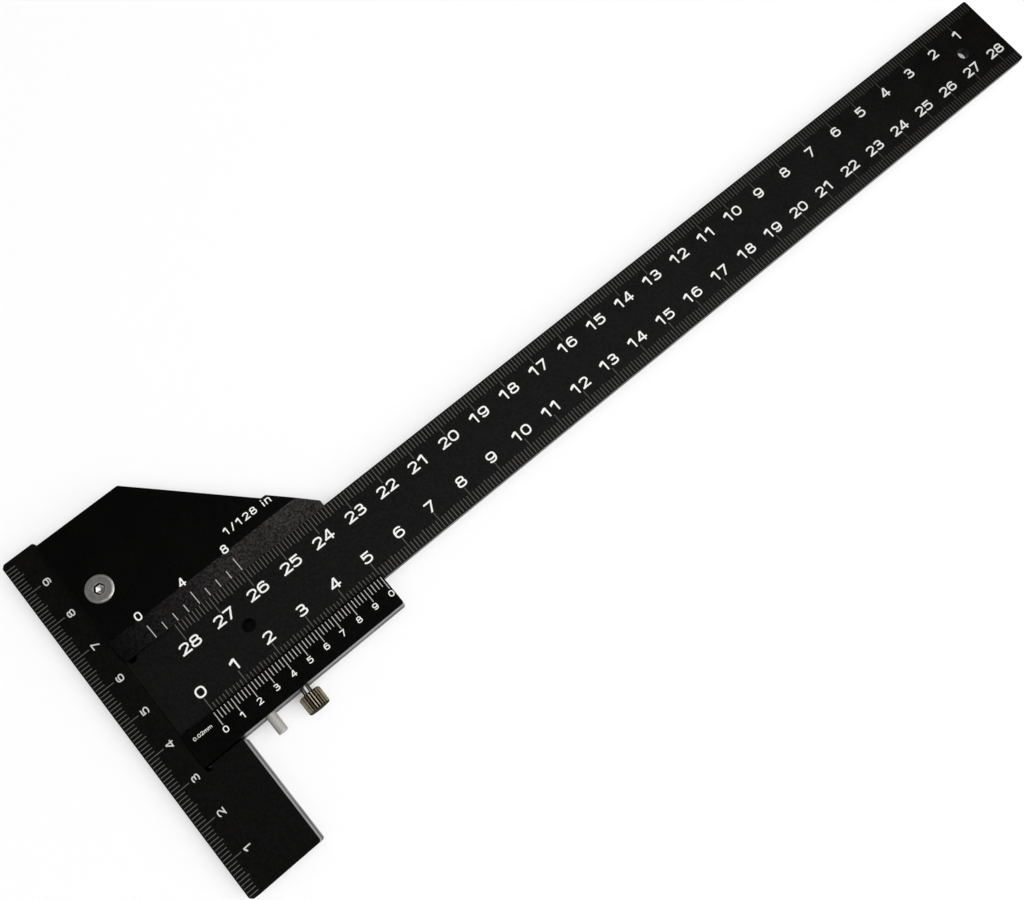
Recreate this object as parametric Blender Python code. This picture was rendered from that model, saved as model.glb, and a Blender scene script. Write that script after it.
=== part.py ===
"""T-square with a sliding wing, a vernier strip and a knurled clamping screw.

The square lies flat. +X runs along the blade away from the head, +Y towards the wing and +Z up. The origin is
under the middle of the box round the whole square, on the surface it lies on. All sizes are metres.
"""

import math

import bmesh
import bpy
from mathutils import Matrix, Vector

# Running gaps
GAP = 0.0003            # between neighbouring pieces that are not turned
SEAM = 0.0001           # butt seam between the blade and the head, seen from above
SCREW_GAP = 0.00015     # round a fixed screw or pin, on the radius
RUN_GAP = 0.00008       # round the clamping screw and its slug, on the radius

# The whole square
OVERALL_LENGTH = 0.304
HEAD_LENGTH = 0.100
EDGE_BREAK = 0.00015    # broken edges of the milled plates

# Head: a bar with a narrow upper arm and a wide lower arm, and a sole plate below it
HEAD_NARROW = 0.0092
HEAD_WIDE = 0.0200
HEAD_WIDE_LENGTH = 0.0301
HEAD_BAR_THICKNESS = 0.0037
HEAD_SOLE_THICKNESS = 0.0024
HEAD_SKIN = 0.0010      # left above the pocket for the tang
HEAD_CORNER = 0.0008    # cut corners of the outer edge
CORNER_CUT = 0.0004     # cut corners elsewhere

# Blade
BLADE_WIDTH = 0.0240
BLADE_THICKNESS = 0.0025
BLADE_FROM_HEAD_END = 0.03835   # lower edge of the blade, from the lower end of the head
TANG_LENGTH = 0.0070
TANG_THICKNESS = 0.0012
BLADE_HOLE_RADIUS = 0.0017
NEAR_HOLE_FROM_HEAD = 0.0278    # from the head's inner edge
FAR_HOLE_FROM_END = 0.0131
RELIEF_RADIUS = 0.0012          # bites that clear the inside corners
RELIEF_FROM_HEAD = 0.0020
RELIEF_INSET = 0.0005
HEAD_RELIEF_RADIUS = 0.0009
HEAD_RELIEF_DROP = 0.0003       # centre of the bar's bite, below the recess

# Slider: wing plate and vernier strip above, base plate below, blade between
SLIDER_LENGTH = 0.0594
WING_REACH = 0.03575            # wing's far edge, from the blade's upper edge
WING_HEIGHT = 0.0020            # top of the wing above the blade
WING_LIP = 0.00055              # how far the wing laps over the blade
WING_LIP_THICKNESS = 0.0005
WING_BEVEL = 0.0060             # width of the slope that carries the short vernier
NOSE_RISE = 0.00125             # start of the 45 degree edge, above the blade's upper edge
WING_STEP_RISE = 0.01075        # height of the small step in the 45 degree edge
WING_STEP = 0.0013
STRIP_HEIGHT = 0.0011           # top of the vernier strip above the blade
STRIP_LIP = 0.00125
BASE_THICKNESS = 0.0025

# Countersunk screws from below
SCREW_RADIUS = 0.00125
SCREW_HEAD_RADIUS = 0.00235
SCREW_SOCKET = 0.0015           # across flats
SCREW_SOCKET_DEPTH = 0.0008
SCREW_LENGTH = 0.0050
SCREW_SINK = 0.0001             # head below the face it is sunk in
SCREW_RIM = 0.00015             # straight edge of a countersunk head, and chamfer of its tip
HEAD_SCREW_SHARE = 0.24         # from either end of the head's upper arm, as a share of its length
ARM_SCREW_SHARE = 0.30          # from the lower end of the wide arm
TANG_SCREW_SHARE = 0.25         # from the blade's edges, as a share of its width
SLIDER_SCREW_INSET = 0.0050     # from the slider's ends
CLAMP_SCREW_OFFSET = 0.0100     # middle screw of the strip, past the clamping screw
WING_SCREW_ROW = 0.0042         # row of the wing's screws, above its wall
NOSE_SCREW_INSET = 0.0080       # last one of that row, from the slider's end
TOP_SCREW_FROM_LEFT = 0.0155    # the wing's fourth screw
TOP_SCREW_DROP = 0.0055

# Countersunk screw in the wing
WING_SCREW_RADIUS = 0.0020
WING_SCREW_HEAD_RADIUS = 0.0036
WING_SCREW_SOCKET = 0.0025
WING_SCREW_SOCKET_DEPTH = 0.0018
WING_SCREW_LENGTH = 0.0078
WING_SCREW_SINK = 0.00015
WING_SCREW_FROM_LEFT = 0.0057
WING_SCREW_RISE = 0.0176        # above the blade's upper edge

# Clamping screw, its slug and the stop pin, all in the strip's lower edge
CLAMP_FROM_LEFT = 0.0285
STUD_RADIUS = 0.0012
KNOB_RADIUS = 0.0029
KNOB_LENGTH = 0.0045
KNOB_STANDOFF = 0.0020          # from the strip's edge to the knob
KNOB_SEAT = 0.0032              # how deep the stud sits in the knob
KNOB_FLUTES = 24
KNOB_FLUTE_DEPTH = 0.00042
KNOB_CREST = 0.5                # part of the flutes' cosine wave that is cut flat
KNOB_CHAMFER = 0.0004
TIP_CHAMFER = 0.00015           # of the stud and the slug
SLUG_RADIUS = 0.0014
SLUG_LENGTH = 0.0018
SLUG_BACKLASH = 0.0009          # room behind the slug when the screw is backed off
PIN_FROM_LEFT = 0.0186
PIN_RADIUS = 0.0013
PIN_REACH = 0.0053
PIN_SEAT = 0.0055
PIN_CHAMFER = 0.0003

SCREW_ROUND = 18                # sides of the small screws and their holes
ROUND = 24                      # sides of other small round pieces
FINE_ROUND = 48
POINTS_PER_FLUTE = 4
SMOOTH_ANGLE = math.radians(35)
CORNER_ANGLE = math.radians(40) # sharper than this counts as a milled edge
SECTOR_NUDGE = 1e-9             # keeps a hexagon's corners in their own sectors
EMPTY_SIZE = 0.01

# Planes that the pieces share, from the sizes above
X_OUTER = -OVERALL_LENGTH / 2
X_END = OVERALL_LENGTH / 2
X_INNER = X_OUTER + HEAD_NARROW
X_ARM = X_OUTER + HEAD_WIDE
Y_LOW = -HEAD_LENGTH / 2
Y_TOP = HEAD_LENGTH / 2
Y_RECESS = Y_LOW + HEAD_WIDE_LENGTH
Y_BLADE_LOW = Y_LOW + BLADE_FROM_HEAD_END
Y_BLADE_HIGH = Y_BLADE_LOW + BLADE_WIDTH
Z_BLADE_TOP = HEAD_SOLE_THICKNESS + GAP + HEAD_BAR_THICKNESS
Z_BLADE_UNDER = Z_BLADE_TOP - BLADE_THICKNESS
Z_HEAD_BAR = HEAD_SOLE_THICKNESS + GAP
Z_POCKET = Z_BLADE_TOP - HEAD_SKIN
Z_TANG_TOP = Z_BLADE_UNDER + TANG_THICKNESS
Z_LAND = Z_BLADE_UNDER - GAP
X_TANG = X_INNER - TANG_LENGTH

X_SLIDER = X_INNER + GAP
X_SLIDER_END = X_SLIDER + SLIDER_LENGTH
Y_STRIP_LOW = Y_RECESS + GAP
Y_STRIP_WALL = Y_BLADE_LOW - GAP
Y_STRIP_LIP = Y_BLADE_LOW + STRIP_LIP
Y_WING_WALL = Y_BLADE_HIGH + GAP
Y_WING_LIP = Y_BLADE_HIGH - WING_LIP
Y_WING_RIDGE = Y_WING_LIP + WING_BEVEL
Y_WING_TOP = Y_BLADE_HIGH + WING_REACH
Y_NOSE = Y_BLADE_HIGH + NOSE_RISE
Y_STEP = Y_BLADE_HIGH + WING_STEP_RISE
Z_PLATES = BASE_THICKNESS + GAP
Z_LIP_UNDER = Z_BLADE_TOP + GAP
Z_STRIP_TOP = Z_BLADE_TOP + STRIP_HEIGHT
Z_WING_TOP = Z_BLADE_TOP + WING_HEIGHT
Z_CLAMP = (Z_BLADE_UNDER + Z_BLADE_TOP) / 2
X_CLAMP = X_SLIDER + CLAMP_FROM_LEFT
X_PIN = X_SLIDER + PIN_FROM_LEFT
Y_STUD_TIP = Y_STRIP_WALL - SLUG_LENGTH - GAP
Y_KNOB = Y_STRIP_LOW - KNOB_STANDOFF
WING_SCREW_AT = (X_SLIDER + WING_SCREW_FROM_LEFT, Y_BLADE_HIGH + WING_SCREW_RISE)

# Places of the screws that come up from below
X_HEAD_SCREWS = (X_OUTER + X_INNER) / 2
HEAD_SCREW_INSET = HEAD_SCREW_SHARE * (Y_TOP - Y_BLADE_HIGH)
HEAD_SCREWS = (
    (X_HEAD_SCREWS, Y_TOP - HEAD_SCREW_INSET),
    (X_HEAD_SCREWS, Y_BLADE_HIGH + HEAD_SCREW_INSET),
    (X_OUTER + HEAD_WIDE / 2, Y_LOW + ARM_SCREW_SHARE * HEAD_WIDE_LENGTH),
)
TANG_SCREW_INSET = TANG_SCREW_SHARE * BLADE_WIDTH
TANG_SCREWS = (
    (X_TANG + TANG_LENGTH / 2, Y_BLADE_HIGH - TANG_SCREW_INSET),
    (X_TANG + TANG_LENGTH / 2, Y_BLADE_LOW + TANG_SCREW_INSET),
)
Y_STRIP_SCREWS = (Y_STRIP_LOW + Y_STRIP_WALL) / 2
STRIP_SCREWS = (
    (X_SLIDER + SLIDER_SCREW_INSET, Y_STRIP_SCREWS),
    (X_CLAMP + CLAMP_SCREW_OFFSET, Y_STRIP_SCREWS),
    (X_SLIDER_END - SLIDER_SCREW_INSET, Y_STRIP_SCREWS),
)
Y_WING_SCREWS = Y_WING_WALL + WING_SCREW_ROW
WING_SCREWS = (
    (X_SLIDER + SLIDER_SCREW_INSET, Y_WING_SCREWS),
    (X_CLAMP, Y_WING_SCREWS),
    (X_SLIDER_END - NOSE_SCREW_INSET, Y_WING_SCREWS),
    (X_SLIDER + TOP_SCREW_FROM_LEFT, Y_WING_TOP - TOP_SCREW_DROP),
)


def clear_scene():
    """Remove every object of the start-up scene."""
    for item in list(bpy.data.objects):
        bpy.data.objects.remove(item, do_unlink=True)


def make_material(name, colour, roughness, metallic):
    """A Principled material with one colour."""
    material = bpy.data.materials.new(name)
    material.use_nodes = True
    shader = material.node_tree.nodes["Principled BSDF"]
    shader.inputs["Base Color"].default_value = (*colour, 1.0)
    shader.inputs["Roughness"].default_value = roughness
    shader.inputs["Metallic"].default_value = metallic
    return material


def add_prism(bm, outline, low, high, upright="Z"):
    """A prism between two levels: an XY outline raised along Z, or a YZ outline pushed along X."""
    if upright == "Z":
        corners = [bm.verts.new((a, b, low)) for a, b in outline]
        push = Vector((0, 0, high - low))
    else:
        corners = [bm.verts.new((low, a, b)) for a, b in outline]
        push = Vector((high - low, 0, 0))
    base = bm.faces.new(corners)
    grown = bmesh.ops.extrude_face_region(bm, geom=[base], use_keep_orig=True)
    top = [v for v in grown["geom"] if isinstance(v, bmesh.types.BMVert)]
    bmesh.ops.translate(bm, verts=top, vec=push)


def rectangle(x0, y0, x1, y1):
    """Corners of a rectangle, anticlockwise."""
    return [(x0, y0), (x1, y0), (x1, y1), (x0, y1)]


def round_ring(radius):
    """A ring of constant radius."""
    return lambda angle: radius


def hexagon_ring(across_flats):
    """A ring that follows a hexagon with a corner at angle zero."""
    sector = math.pi / 3

    def radius(angle):
        return across_flats / 2 / math.cos((angle + SECTOR_NUDGE) % sector - sector / 2)

    return radius


def fluted_ring(radius, depth, count):
    """A ring with straight flutes: a cosine wave, flattened at its crests."""

    def wavy(angle):
        below_crest = max(0.0, KNOB_CREST - math.cos(count * angle))
        return radius - depth * below_crest / (KNOB_CREST + 1)

    return wavy


def add_loft(bm, stations, sides, place):
    """Skin closed rings, each a radius function at a height, from the axis below to the axis above."""
    rings = []
    for ring, height in stations:
        if ring is None:
            rings.append([bm.verts.new(place @ Vector((0, 0, height)))])
            continue
        turned = []
        for step in range(sides):
            angle = 2 * math.pi * step / sides
            radius = ring(angle)
            spot = Vector((radius * math.cos(angle), radius * math.sin(angle), height))
            turned.append(bm.verts.new(place @ spot))
        rings.append(turned)
    for lower, upper in zip(rings, rings[1:]):
        for step in range(sides):
            after = (step + 1) % sides
            if len(lower) == 1:
                bm.faces.new((lower[0], upper[after], upper[step]))
            elif len(upper) == 1:
                bm.faces.new((lower[step], lower[after], upper[0]))
            else:
                bm.faces.new((lower[step], lower[after], upper[after], upper[step]))


def add_rod(bm, radius, low, high, place, sides=ROUND):
    """A plain cylinder along the placed Z axis."""
    stations = [(None, low), (round_ring(radius), low), (round_ring(radius), high), (None, high)]
    add_loft(bm, stations, sides, place)


def along_y(x, y, z):
    """Place a turned shape so that its axis runs along +Y from the given point."""
    return Matrix.Translation((x, y, z)) @ Matrix.Rotation(-math.pi / 2, 4, "X")


def finish(bm, name, material=None, origin=(0, 0, 0), parent=None, smooth=False):
    """Turn the mesh being built into an object whose origin is at the given world point."""
    bmesh.ops.recalc_face_normals(bm, faces=bm.faces)
    bmesh.ops.translate(bm, verts=bm.verts, vec=-Vector(origin))
    mesh = bpy.data.meshes.new(name)
    bm.to_mesh(mesh)
    bm.free()
    if smooth:
        mesh.shade_smooth()
        mesh.set_sharp_from_angle(angle=SMOOTH_ANGLE)
    item = bpy.data.objects.new(name, mesh)
    bpy.context.scene.collection.objects.link(item)
    item.location = origin
    if material:
        mesh.materials.append(material)
    if parent:
        item.parent = parent
        item.location = Vector(origin) - parent.location
    return item


def make_empty(name, spot, parent=None):
    """An empty that a group of pieces hangs from."""
    empty = bpy.data.objects.new(name, None)
    bpy.context.scene.collection.objects.link(empty)
    empty.empty_display_size = EMPTY_SIZE
    empty.location = spot
    if parent:
        empty.parent = parent
        empty.location = Vector(spot) - parent.location
    return empty


def combine(item, bm, name, operation):
    """Cut, trim or grow a piece with a helper solid that stays as a wire guide."""
    helper = finish(bm, name)
    helper.hide_render = True
    helper.display_type = "WIRE"
    step = item.modifiers.new(name, "BOOLEAN")
    step.operation = operation
    step.solver = "EXACT"
    step.object = helper


def break_edges(item):
    """A fine chamfer on the milled edges; holes cut after it keep theirs sharp."""
    step = item.modifiers.new("broken edges", "BEVEL")
    step.width = EDGE_BREAK
    step.segments = 1
    step.limit_method = "ANGLE"
    step.angle_limit = CORNER_ANGLE


def head_outline():
    """Outline of the head: a long bar whose lower arm is about twice as wide as the upper one."""
    return [
        (X_OUTER + HEAD_CORNER, Y_LOW),
        (X_ARM - CORNER_CUT, Y_LOW),
        (X_ARM, Y_LOW + CORNER_CUT),
        (X_ARM, Y_RECESS - CORNER_CUT),
        (X_ARM - CORNER_CUT, Y_RECESS),
        (X_INNER, Y_RECESS),
        (X_INNER, Y_TOP - CORNER_CUT),
        (X_INNER - CORNER_CUT, Y_TOP),
        (X_OUTER + HEAD_CORNER, Y_TOP),
        (X_OUTER, Y_TOP - HEAD_CORNER),
        (X_OUTER, Y_LOW + HEAD_CORNER),
    ]


def slider_outline():
    """Outline of the slider: a square block with a wing that ends in a stepped 45 degree edge."""
    x_step = X_SLIDER_END - (Y_STEP - Y_NOSE)
    x_corner = x_step - WING_STEP - (Y_WING_TOP - Y_STEP)
    return [
        (X_SLIDER, Y_STRIP_LOW),
        (X_SLIDER_END - CORNER_CUT, Y_STRIP_LOW),
        (X_SLIDER_END, Y_STRIP_LOW + CORNER_CUT),
        (X_SLIDER_END, Y_NOSE),
        (x_step, Y_STEP),
        (x_step - WING_STEP, Y_STEP),
        (x_corner, Y_WING_TOP),
        (X_SLIDER, Y_WING_TOP),
    ]


def add_sunk_hole(bm, spot, face, top):
    """A clearance hole with a countersink in the face below it."""
    flare = SCREW_HEAD_RADIUS - SCREW_RADIUS
    mouth = round_ring(SCREW_HEAD_RADIUS + SCREW_GAP)
    bore = round_ring(SCREW_RADIUS + SCREW_GAP)
    seat = face + SCREW_SINK + SCREW_RIM + SCREW_GAP
    stations = [
        (None, face - GAP),
        (mouth, face - GAP),
        (mouth, seat),
        (bore, seat + flare),
        (bore, top),
        (None, top),
    ]
    add_loft(bm, stations, SCREW_ROUND, Matrix.Translation((*spot, 0)))


def add_blind_hole(bm, spot, low):
    """A tapped hole from below, a little deeper than the screw."""
    top = SCREW_SINK + SCREW_LENGTH + GAP
    shaft = Matrix.Translation((*spot, 0))
    add_rod(bm, SCREW_RADIUS + SCREW_GAP, low - GAP, top, shaft, SCREW_ROUND)


def make_head_bar(material, parent):
    """The upper bar of the head: a pocket below for the blade's tang, a round bite in the recess's inside corner."""
    bm = bmesh.new()
    add_prism(bm, head_outline(), Z_HEAD_BAR, Z_BLADE_TOP)
    bar = finish(bm, "head_bar", material, (X_OUTER, Y_LOW, Z_HEAD_BAR), parent)
    break_edges(bar)
    cuts = bmesh.new()
    pocket = rectangle(X_TANG - GAP, Y_BLADE_LOW - GAP, X_INNER + GAP, Y_BLADE_HIGH + GAP)
    add_prism(cuts, pocket, Z_HEAD_BAR - GAP, Z_POCKET)
    bite = Matrix.Translation((X_INNER + HEAD_RELIEF_RADIUS, Y_RECESS - HEAD_RELIEF_DROP, 0))
    add_rod(cuts, HEAD_RELIEF_RADIUS, Z_HEAD_BAR - GAP, Z_BLADE_TOP + GAP, bite)
    for spot in HEAD_SCREWS:
        add_blind_hole(cuts, spot, Z_HEAD_BAR)
    combine(bar, cuts, "head_bar_cuts", "DIFFERENCE")


def make_head_sole(material, parent):
    """The plate below the bar; its raised land holds the tang up in the pocket."""
    bm = bmesh.new()
    add_prism(bm, head_outline(), 0, HEAD_SOLE_THICKNESS)
    sole = finish(bm, "head_sole", material, (X_OUTER, Y_LOW, 0), parent)
    break_edges(sole)
    land = bmesh.new()
    footprint = rectangle(X_TANG, Y_BLADE_LOW, X_INNER - GAP, Y_BLADE_HIGH)
    add_prism(land, footprint, HEAD_SOLE_THICKNESS / 2, Z_LAND)
    combine(sole, land, "head_sole_land", "UNION")
    cuts = bmesh.new()
    for spot in HEAD_SCREWS + TANG_SCREWS:
        add_sunk_hole(cuts, spot, 0, Z_LAND + GAP)
    combine(sole, cuts, "head_sole_cuts", "DIFFERENCE")


def make_blade(material, parent):
    """The blade, with a thinned tang at the head and a round hole near each end."""
    bm = bmesh.new()
    outline = [
        (X_TANG, Y_BLADE_LOW),
        (X_END - CORNER_CUT, Y_BLADE_LOW),
        (X_END, Y_BLADE_LOW + CORNER_CUT),
        (X_END, Y_BLADE_HIGH - CORNER_CUT),
        (X_END - CORNER_CUT, Y_BLADE_HIGH),
        (X_TANG, Y_BLADE_HIGH),
    ]
    add_prism(bm, outline, Z_BLADE_UNDER, Z_BLADE_TOP)
    blade = finish(bm, "blade", material, (X_TANG, Y_BLADE_LOW, Z_BLADE_UNDER), parent)
    shoulder = bmesh.new()
    above_tang = rectangle(X_TANG - GAP, Y_BLADE_LOW - GAP, X_INNER + SEAM, Y_BLADE_HIGH + GAP)
    add_prism(shoulder, above_tang, Z_TANG_TOP, Z_BLADE_TOP + GAP)
    combine(blade, shoulder, "blade_shoulder", "DIFFERENCE")
    break_edges(blade)
    cuts = bmesh.new()
    for spot in TANG_SCREWS:
        shaft = Matrix.Translation((*spot, 0))
        add_rod(cuts, SCREW_RADIUS + SCREW_GAP, Z_LAND, Z_TANG_TOP + GAP, shaft, SCREW_ROUND)
    y_middle = (Y_BLADE_LOW + Y_BLADE_HIGH) / 2
    for x in (X_INNER + NEAR_HOLE_FROM_HEAD, X_END - FAR_HOLE_FROM_END):
        shaft = Matrix.Translation((x, y_middle, 0))
        add_rod(cuts, BLADE_HOLE_RADIUS, Z_LAND, Z_BLADE_TOP + GAP, shaft, FINE_ROUND)
    for y in (Y_BLADE_LOW + RELIEF_INSET, Y_BLADE_HIGH - RELIEF_INSET):
        shaft = Matrix.Translation((X_INNER + RELIEF_FROM_HEAD, y, 0))
        add_rod(cuts, RELIEF_RADIUS, Z_LAND, Z_BLADE_TOP + GAP, shaft)
    combine(blade, cuts, "blade_cuts", "DIFFERENCE")


def make_milled(name, profile, cuts, material, parent):
    """A slider plate: a YZ profile pushed along X, trimmed to the slider's outline and drilled."""
    bm = bmesh.new()
    add_prism(bm, profile, X_SLIDER, X_SLIDER_END, upright="X")
    plate = finish(bm, name, material, (X_SLIDER, Y_BLADE_LOW, 0), parent)
    trim = bmesh.new()
    add_prism(trim, slider_outline(), -GAP, Z_WING_TOP + GAP)
    combine(plate, trim, name + "_outline", "INTERSECT")
    break_edges(plate)
    combine(plate, cuts, name + "_holes", "DIFFERENCE")


def make_slider_base(material, parent):
    """The plate under the blade, with a raised land that the blade runs on."""
    profile = [
        (Y_STRIP_LOW, 0),
        (Y_WING_TOP, 0),
        (Y_WING_TOP, BASE_THICKNESS),
        (Y_BLADE_HIGH, BASE_THICKNESS),
        (Y_BLADE_HIGH, Z_LAND),
        (Y_BLADE_LOW, Z_LAND),
        (Y_BLADE_LOW, BASE_THICKNESS),
        (Y_STRIP_LOW, BASE_THICKNESS),
    ]
    cuts = bmesh.new()
    for spot in STRIP_SCREWS + WING_SCREWS:
        add_sunk_hole(cuts, spot, 0, BASE_THICKNESS + GAP)
    shaft = Matrix.Translation((*WING_SCREW_AT, 0))
    add_rod(cuts, WING_SCREW_RADIUS + SCREW_GAP, -GAP, BASE_THICKNESS + GAP, shaft)
    make_milled("slider_base", profile, cuts, material, parent)


def make_wing_plate(material, parent):
    """The wing: its lip laps over the blade's upper edge, with a slope for the short vernier."""
    profile = [
        (Y_WING_WALL, Z_PLATES),
        (Y_WING_TOP, Z_PLATES),
        (Y_WING_TOP, Z_WING_TOP),
        (Y_WING_RIDGE, Z_WING_TOP),
        (Y_WING_LIP, Z_LIP_UNDER + WING_LIP_THICKNESS),
        (Y_WING_LIP, Z_LIP_UNDER),
        (Y_WING_WALL, Z_LIP_UNDER),
    ]
    cuts = bmesh.new()
    for spot in WING_SCREWS:
        add_blind_hole(cuts, spot, Z_PLATES)
    flare = WING_SCREW_HEAD_RADIUS - WING_SCREW_RADIUS
    bore = round_ring(WING_SCREW_RADIUS + SCREW_GAP)
    mouth = round_ring(WING_SCREW_HEAD_RADIUS + SCREW_GAP)
    seat = Z_WING_TOP - WING_SCREW_SINK - SCREW_RIM - GAP
    stations = [
        (None, Z_PLATES - GAP),
        (bore, Z_PLATES - GAP),
        (bore, seat - flare),
        (mouth, seat),
        (mouth, Z_WING_TOP + GAP),
        (None, Z_WING_TOP + GAP),
    ]
    add_loft(cuts, stations, FINE_ROUND, Matrix.Translation((*WING_SCREW_AT, 0)))
    make_milled("wing_plate", profile, cuts, material, parent)


def make_vernier_strip(material, parent):
    """The strip along the blade's lower edge, bored for the clamping screw and the stop pin."""
    profile = [
        (Y_STRIP_LOW, Z_PLATES),
        (Y_STRIP_WALL, Z_PLATES),
        (Y_STRIP_WALL, Z_LIP_UNDER),
        (Y_STRIP_LIP, Z_LIP_UNDER),
        (Y_STRIP_LIP, Z_STRIP_TOP),
        (Y_STRIP_LOW, Z_STRIP_TOP),
    ]
    cuts = bmesh.new()
    for spot in STRIP_SCREWS:
        add_blind_hole(cuts, spot, Z_PLATES)
    wall = Y_STRIP_WALL - Y_STRIP_LOW
    chamber = wall - SLUG_LENGTH - SLUG_BACKLASH
    stations = [
        (None, -GAP),
        (round_ring(STUD_RADIUS + RUN_GAP), -GAP),
        (round_ring(STUD_RADIUS + RUN_GAP), chamber),
        (round_ring(SLUG_RADIUS + RUN_GAP), chamber),
        (round_ring(SLUG_RADIUS + RUN_GAP), wall + GAP),
        (None, wall + GAP),
    ]
    add_loft(cuts, stations, ROUND, along_y(X_CLAMP, Y_STRIP_LOW, Z_CLAMP))
    socket = along_y(X_PIN, Y_STRIP_LOW, Z_CLAMP)
    add_rod(cuts, PIN_RADIUS + SCREW_GAP, -GAP, PIN_SEAT + GAP, socket)
    make_milled("vernier_strip", profile, cuts, material, parent)


def make_screw(name, spot, material, parent):
    """A small countersunk socket screw that comes up from below."""
    flare = SCREW_HEAD_RADIUS - SCREW_RADIUS
    socket = hexagon_ring(SCREW_SOCKET)
    head = round_ring(SCREW_HEAD_RADIUS)
    shank = round_ring(SCREW_RADIUS)
    stations = [
        (None, SCREW_SOCKET_DEPTH),
        (socket, SCREW_SOCKET_DEPTH),
        (socket, 0),
        (head, 0),
        (head, SCREW_RIM),
        (shank, flare + SCREW_RIM),
        (shank, SCREW_LENGTH - SCREW_RIM),
        (round_ring(SCREW_RADIUS - SCREW_RIM), SCREW_LENGTH),
        (None, SCREW_LENGTH),
    ]
    bm = bmesh.new()
    origin = (*spot, SCREW_SINK)
    add_loft(bm, stations, SCREW_ROUND, Matrix.Translation(origin))
    finish(bm, name, material, origin, parent, smooth=True)


def make_wing_screw(material, parent):
    """The bright countersunk screw in the wing, with its socket upwards."""
    flare = WING_SCREW_HEAD_RADIUS - WING_SCREW_RADIUS
    head = round_ring(WING_SCREW_HEAD_RADIUS)
    shank = round_ring(WING_SCREW_RADIUS)
    socket = hexagon_ring(WING_SCREW_SOCKET)
    stations = [
        (None, -WING_SCREW_LENGTH),
        (round_ring(WING_SCREW_RADIUS - SCREW_RIM), -WING_SCREW_LENGTH),
        (shank, SCREW_RIM - WING_SCREW_LENGTH),
        (shank, -flare - SCREW_RIM),
        (head, -SCREW_RIM),
        (head, 0),
        (socket, 0),
        (socket, -WING_SCREW_SOCKET_DEPTH),
        (None, -WING_SCREW_SOCKET_DEPTH),
    ]
    bm = bmesh.new()
    origin = (*WING_SCREW_AT, Z_WING_TOP - WING_SCREW_SINK)
    add_loft(bm, stations, FINE_ROUND, Matrix.Translation(origin))
    finish(bm, "wing_screw", material, origin, parent, smooth=True)


def make_stop_pin(material, parent):
    """The plain pin that stands out of the strip's lower edge."""
    body = round_ring(PIN_RADIUS)
    tip = round_ring(PIN_RADIUS - PIN_CHAMFER)
    stations = [
        (None, -PIN_REACH),
        (tip, -PIN_REACH),
        (body, PIN_CHAMFER - PIN_REACH),
        (body, PIN_SEAT - PIN_CHAMFER),
        (tip, PIN_SEAT),
        (None, PIN_SEAT),
    ]
    bm = bmesh.new()
    origin = (X_PIN, Y_STRIP_LOW, Z_CLAMP)
    add_loft(bm, stations, ROUND, along_y(*origin))
    finish(bm, "stop_pin", material, origin, parent, smooth=True)


def make_knob(material, parent):
    """The knurled knob: straight flutes between two chamfers, bored for the stud."""
    sides = KNOB_FLUTES * POINTS_PER_FLUTE
    rim = fluted_ring(KNOB_RADIUS, KNOB_FLUTE_DEPTH, KNOB_FLUTES)
    face = round_ring(KNOB_RADIUS - KNOB_CHAMFER)
    bore = round_ring(STUD_RADIUS + SCREW_GAP)
    stations = [
        (None, -KNOB_LENGTH),
        (face, -KNOB_LENGTH),
        (rim, KNOB_CHAMFER - KNOB_LENGTH),
        (rim, -KNOB_CHAMFER),
        (face, 0),
        (bore, 0),
        (bore, -KNOB_SEAT - GAP),
        (None, -KNOB_SEAT - GAP),
    ]
    bm = bmesh.new()
    origin = (X_CLAMP, Y_KNOB, Z_CLAMP)
    add_loft(bm, stations, sides, along_y(*origin))
    finish(bm, "thumbscrew_knob", material, origin, parent, smooth=True)


def make_stud(material, parent):
    """The steel stud that the knob is pressed on."""
    body = round_ring(STUD_RADIUS)
    tip = round_ring(STUD_RADIUS - TIP_CHAMFER)
    length = Y_STUD_TIP - Y_KNOB
    stations = [
        (None, -KNOB_SEAT),
        (tip, -KNOB_SEAT),
        (body, TIP_CHAMFER - KNOB_SEAT),
        (body, length - TIP_CHAMFER),
        (tip, length),
        (None, length),
    ]
    bm = bmesh.new()
    origin = (X_CLAMP, Y_KNOB, Z_CLAMP)
    add_loft(bm, stations, ROUND, along_y(*origin))
    finish(bm, "thumbscrew_stud", material, origin, parent, smooth=True)


def make_slug(material, parent):
    """The brass slug that the stud pushes against the blade's edge."""
    body = round_ring(SLUG_RADIUS)
    rim = round_ring(SLUG_RADIUS - TIP_CHAMFER)
    stations = [
        (None, -SLUG_LENGTH),
        (rim, -SLUG_LENGTH),
        (body, TIP_CHAMFER - SLUG_LENGTH),
        (body, -TIP_CHAMFER),
        (rim, 0),
        (None, 0),
    ]
    bm = bmesh.new()
    origin = (X_CLAMP, Y_STRIP_WALL, Z_CLAMP)
    add_loft(bm, stations, ROUND, along_y(*origin))
    finish(bm, "clamp_slug", material, origin, parent, smooth=True)


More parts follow.
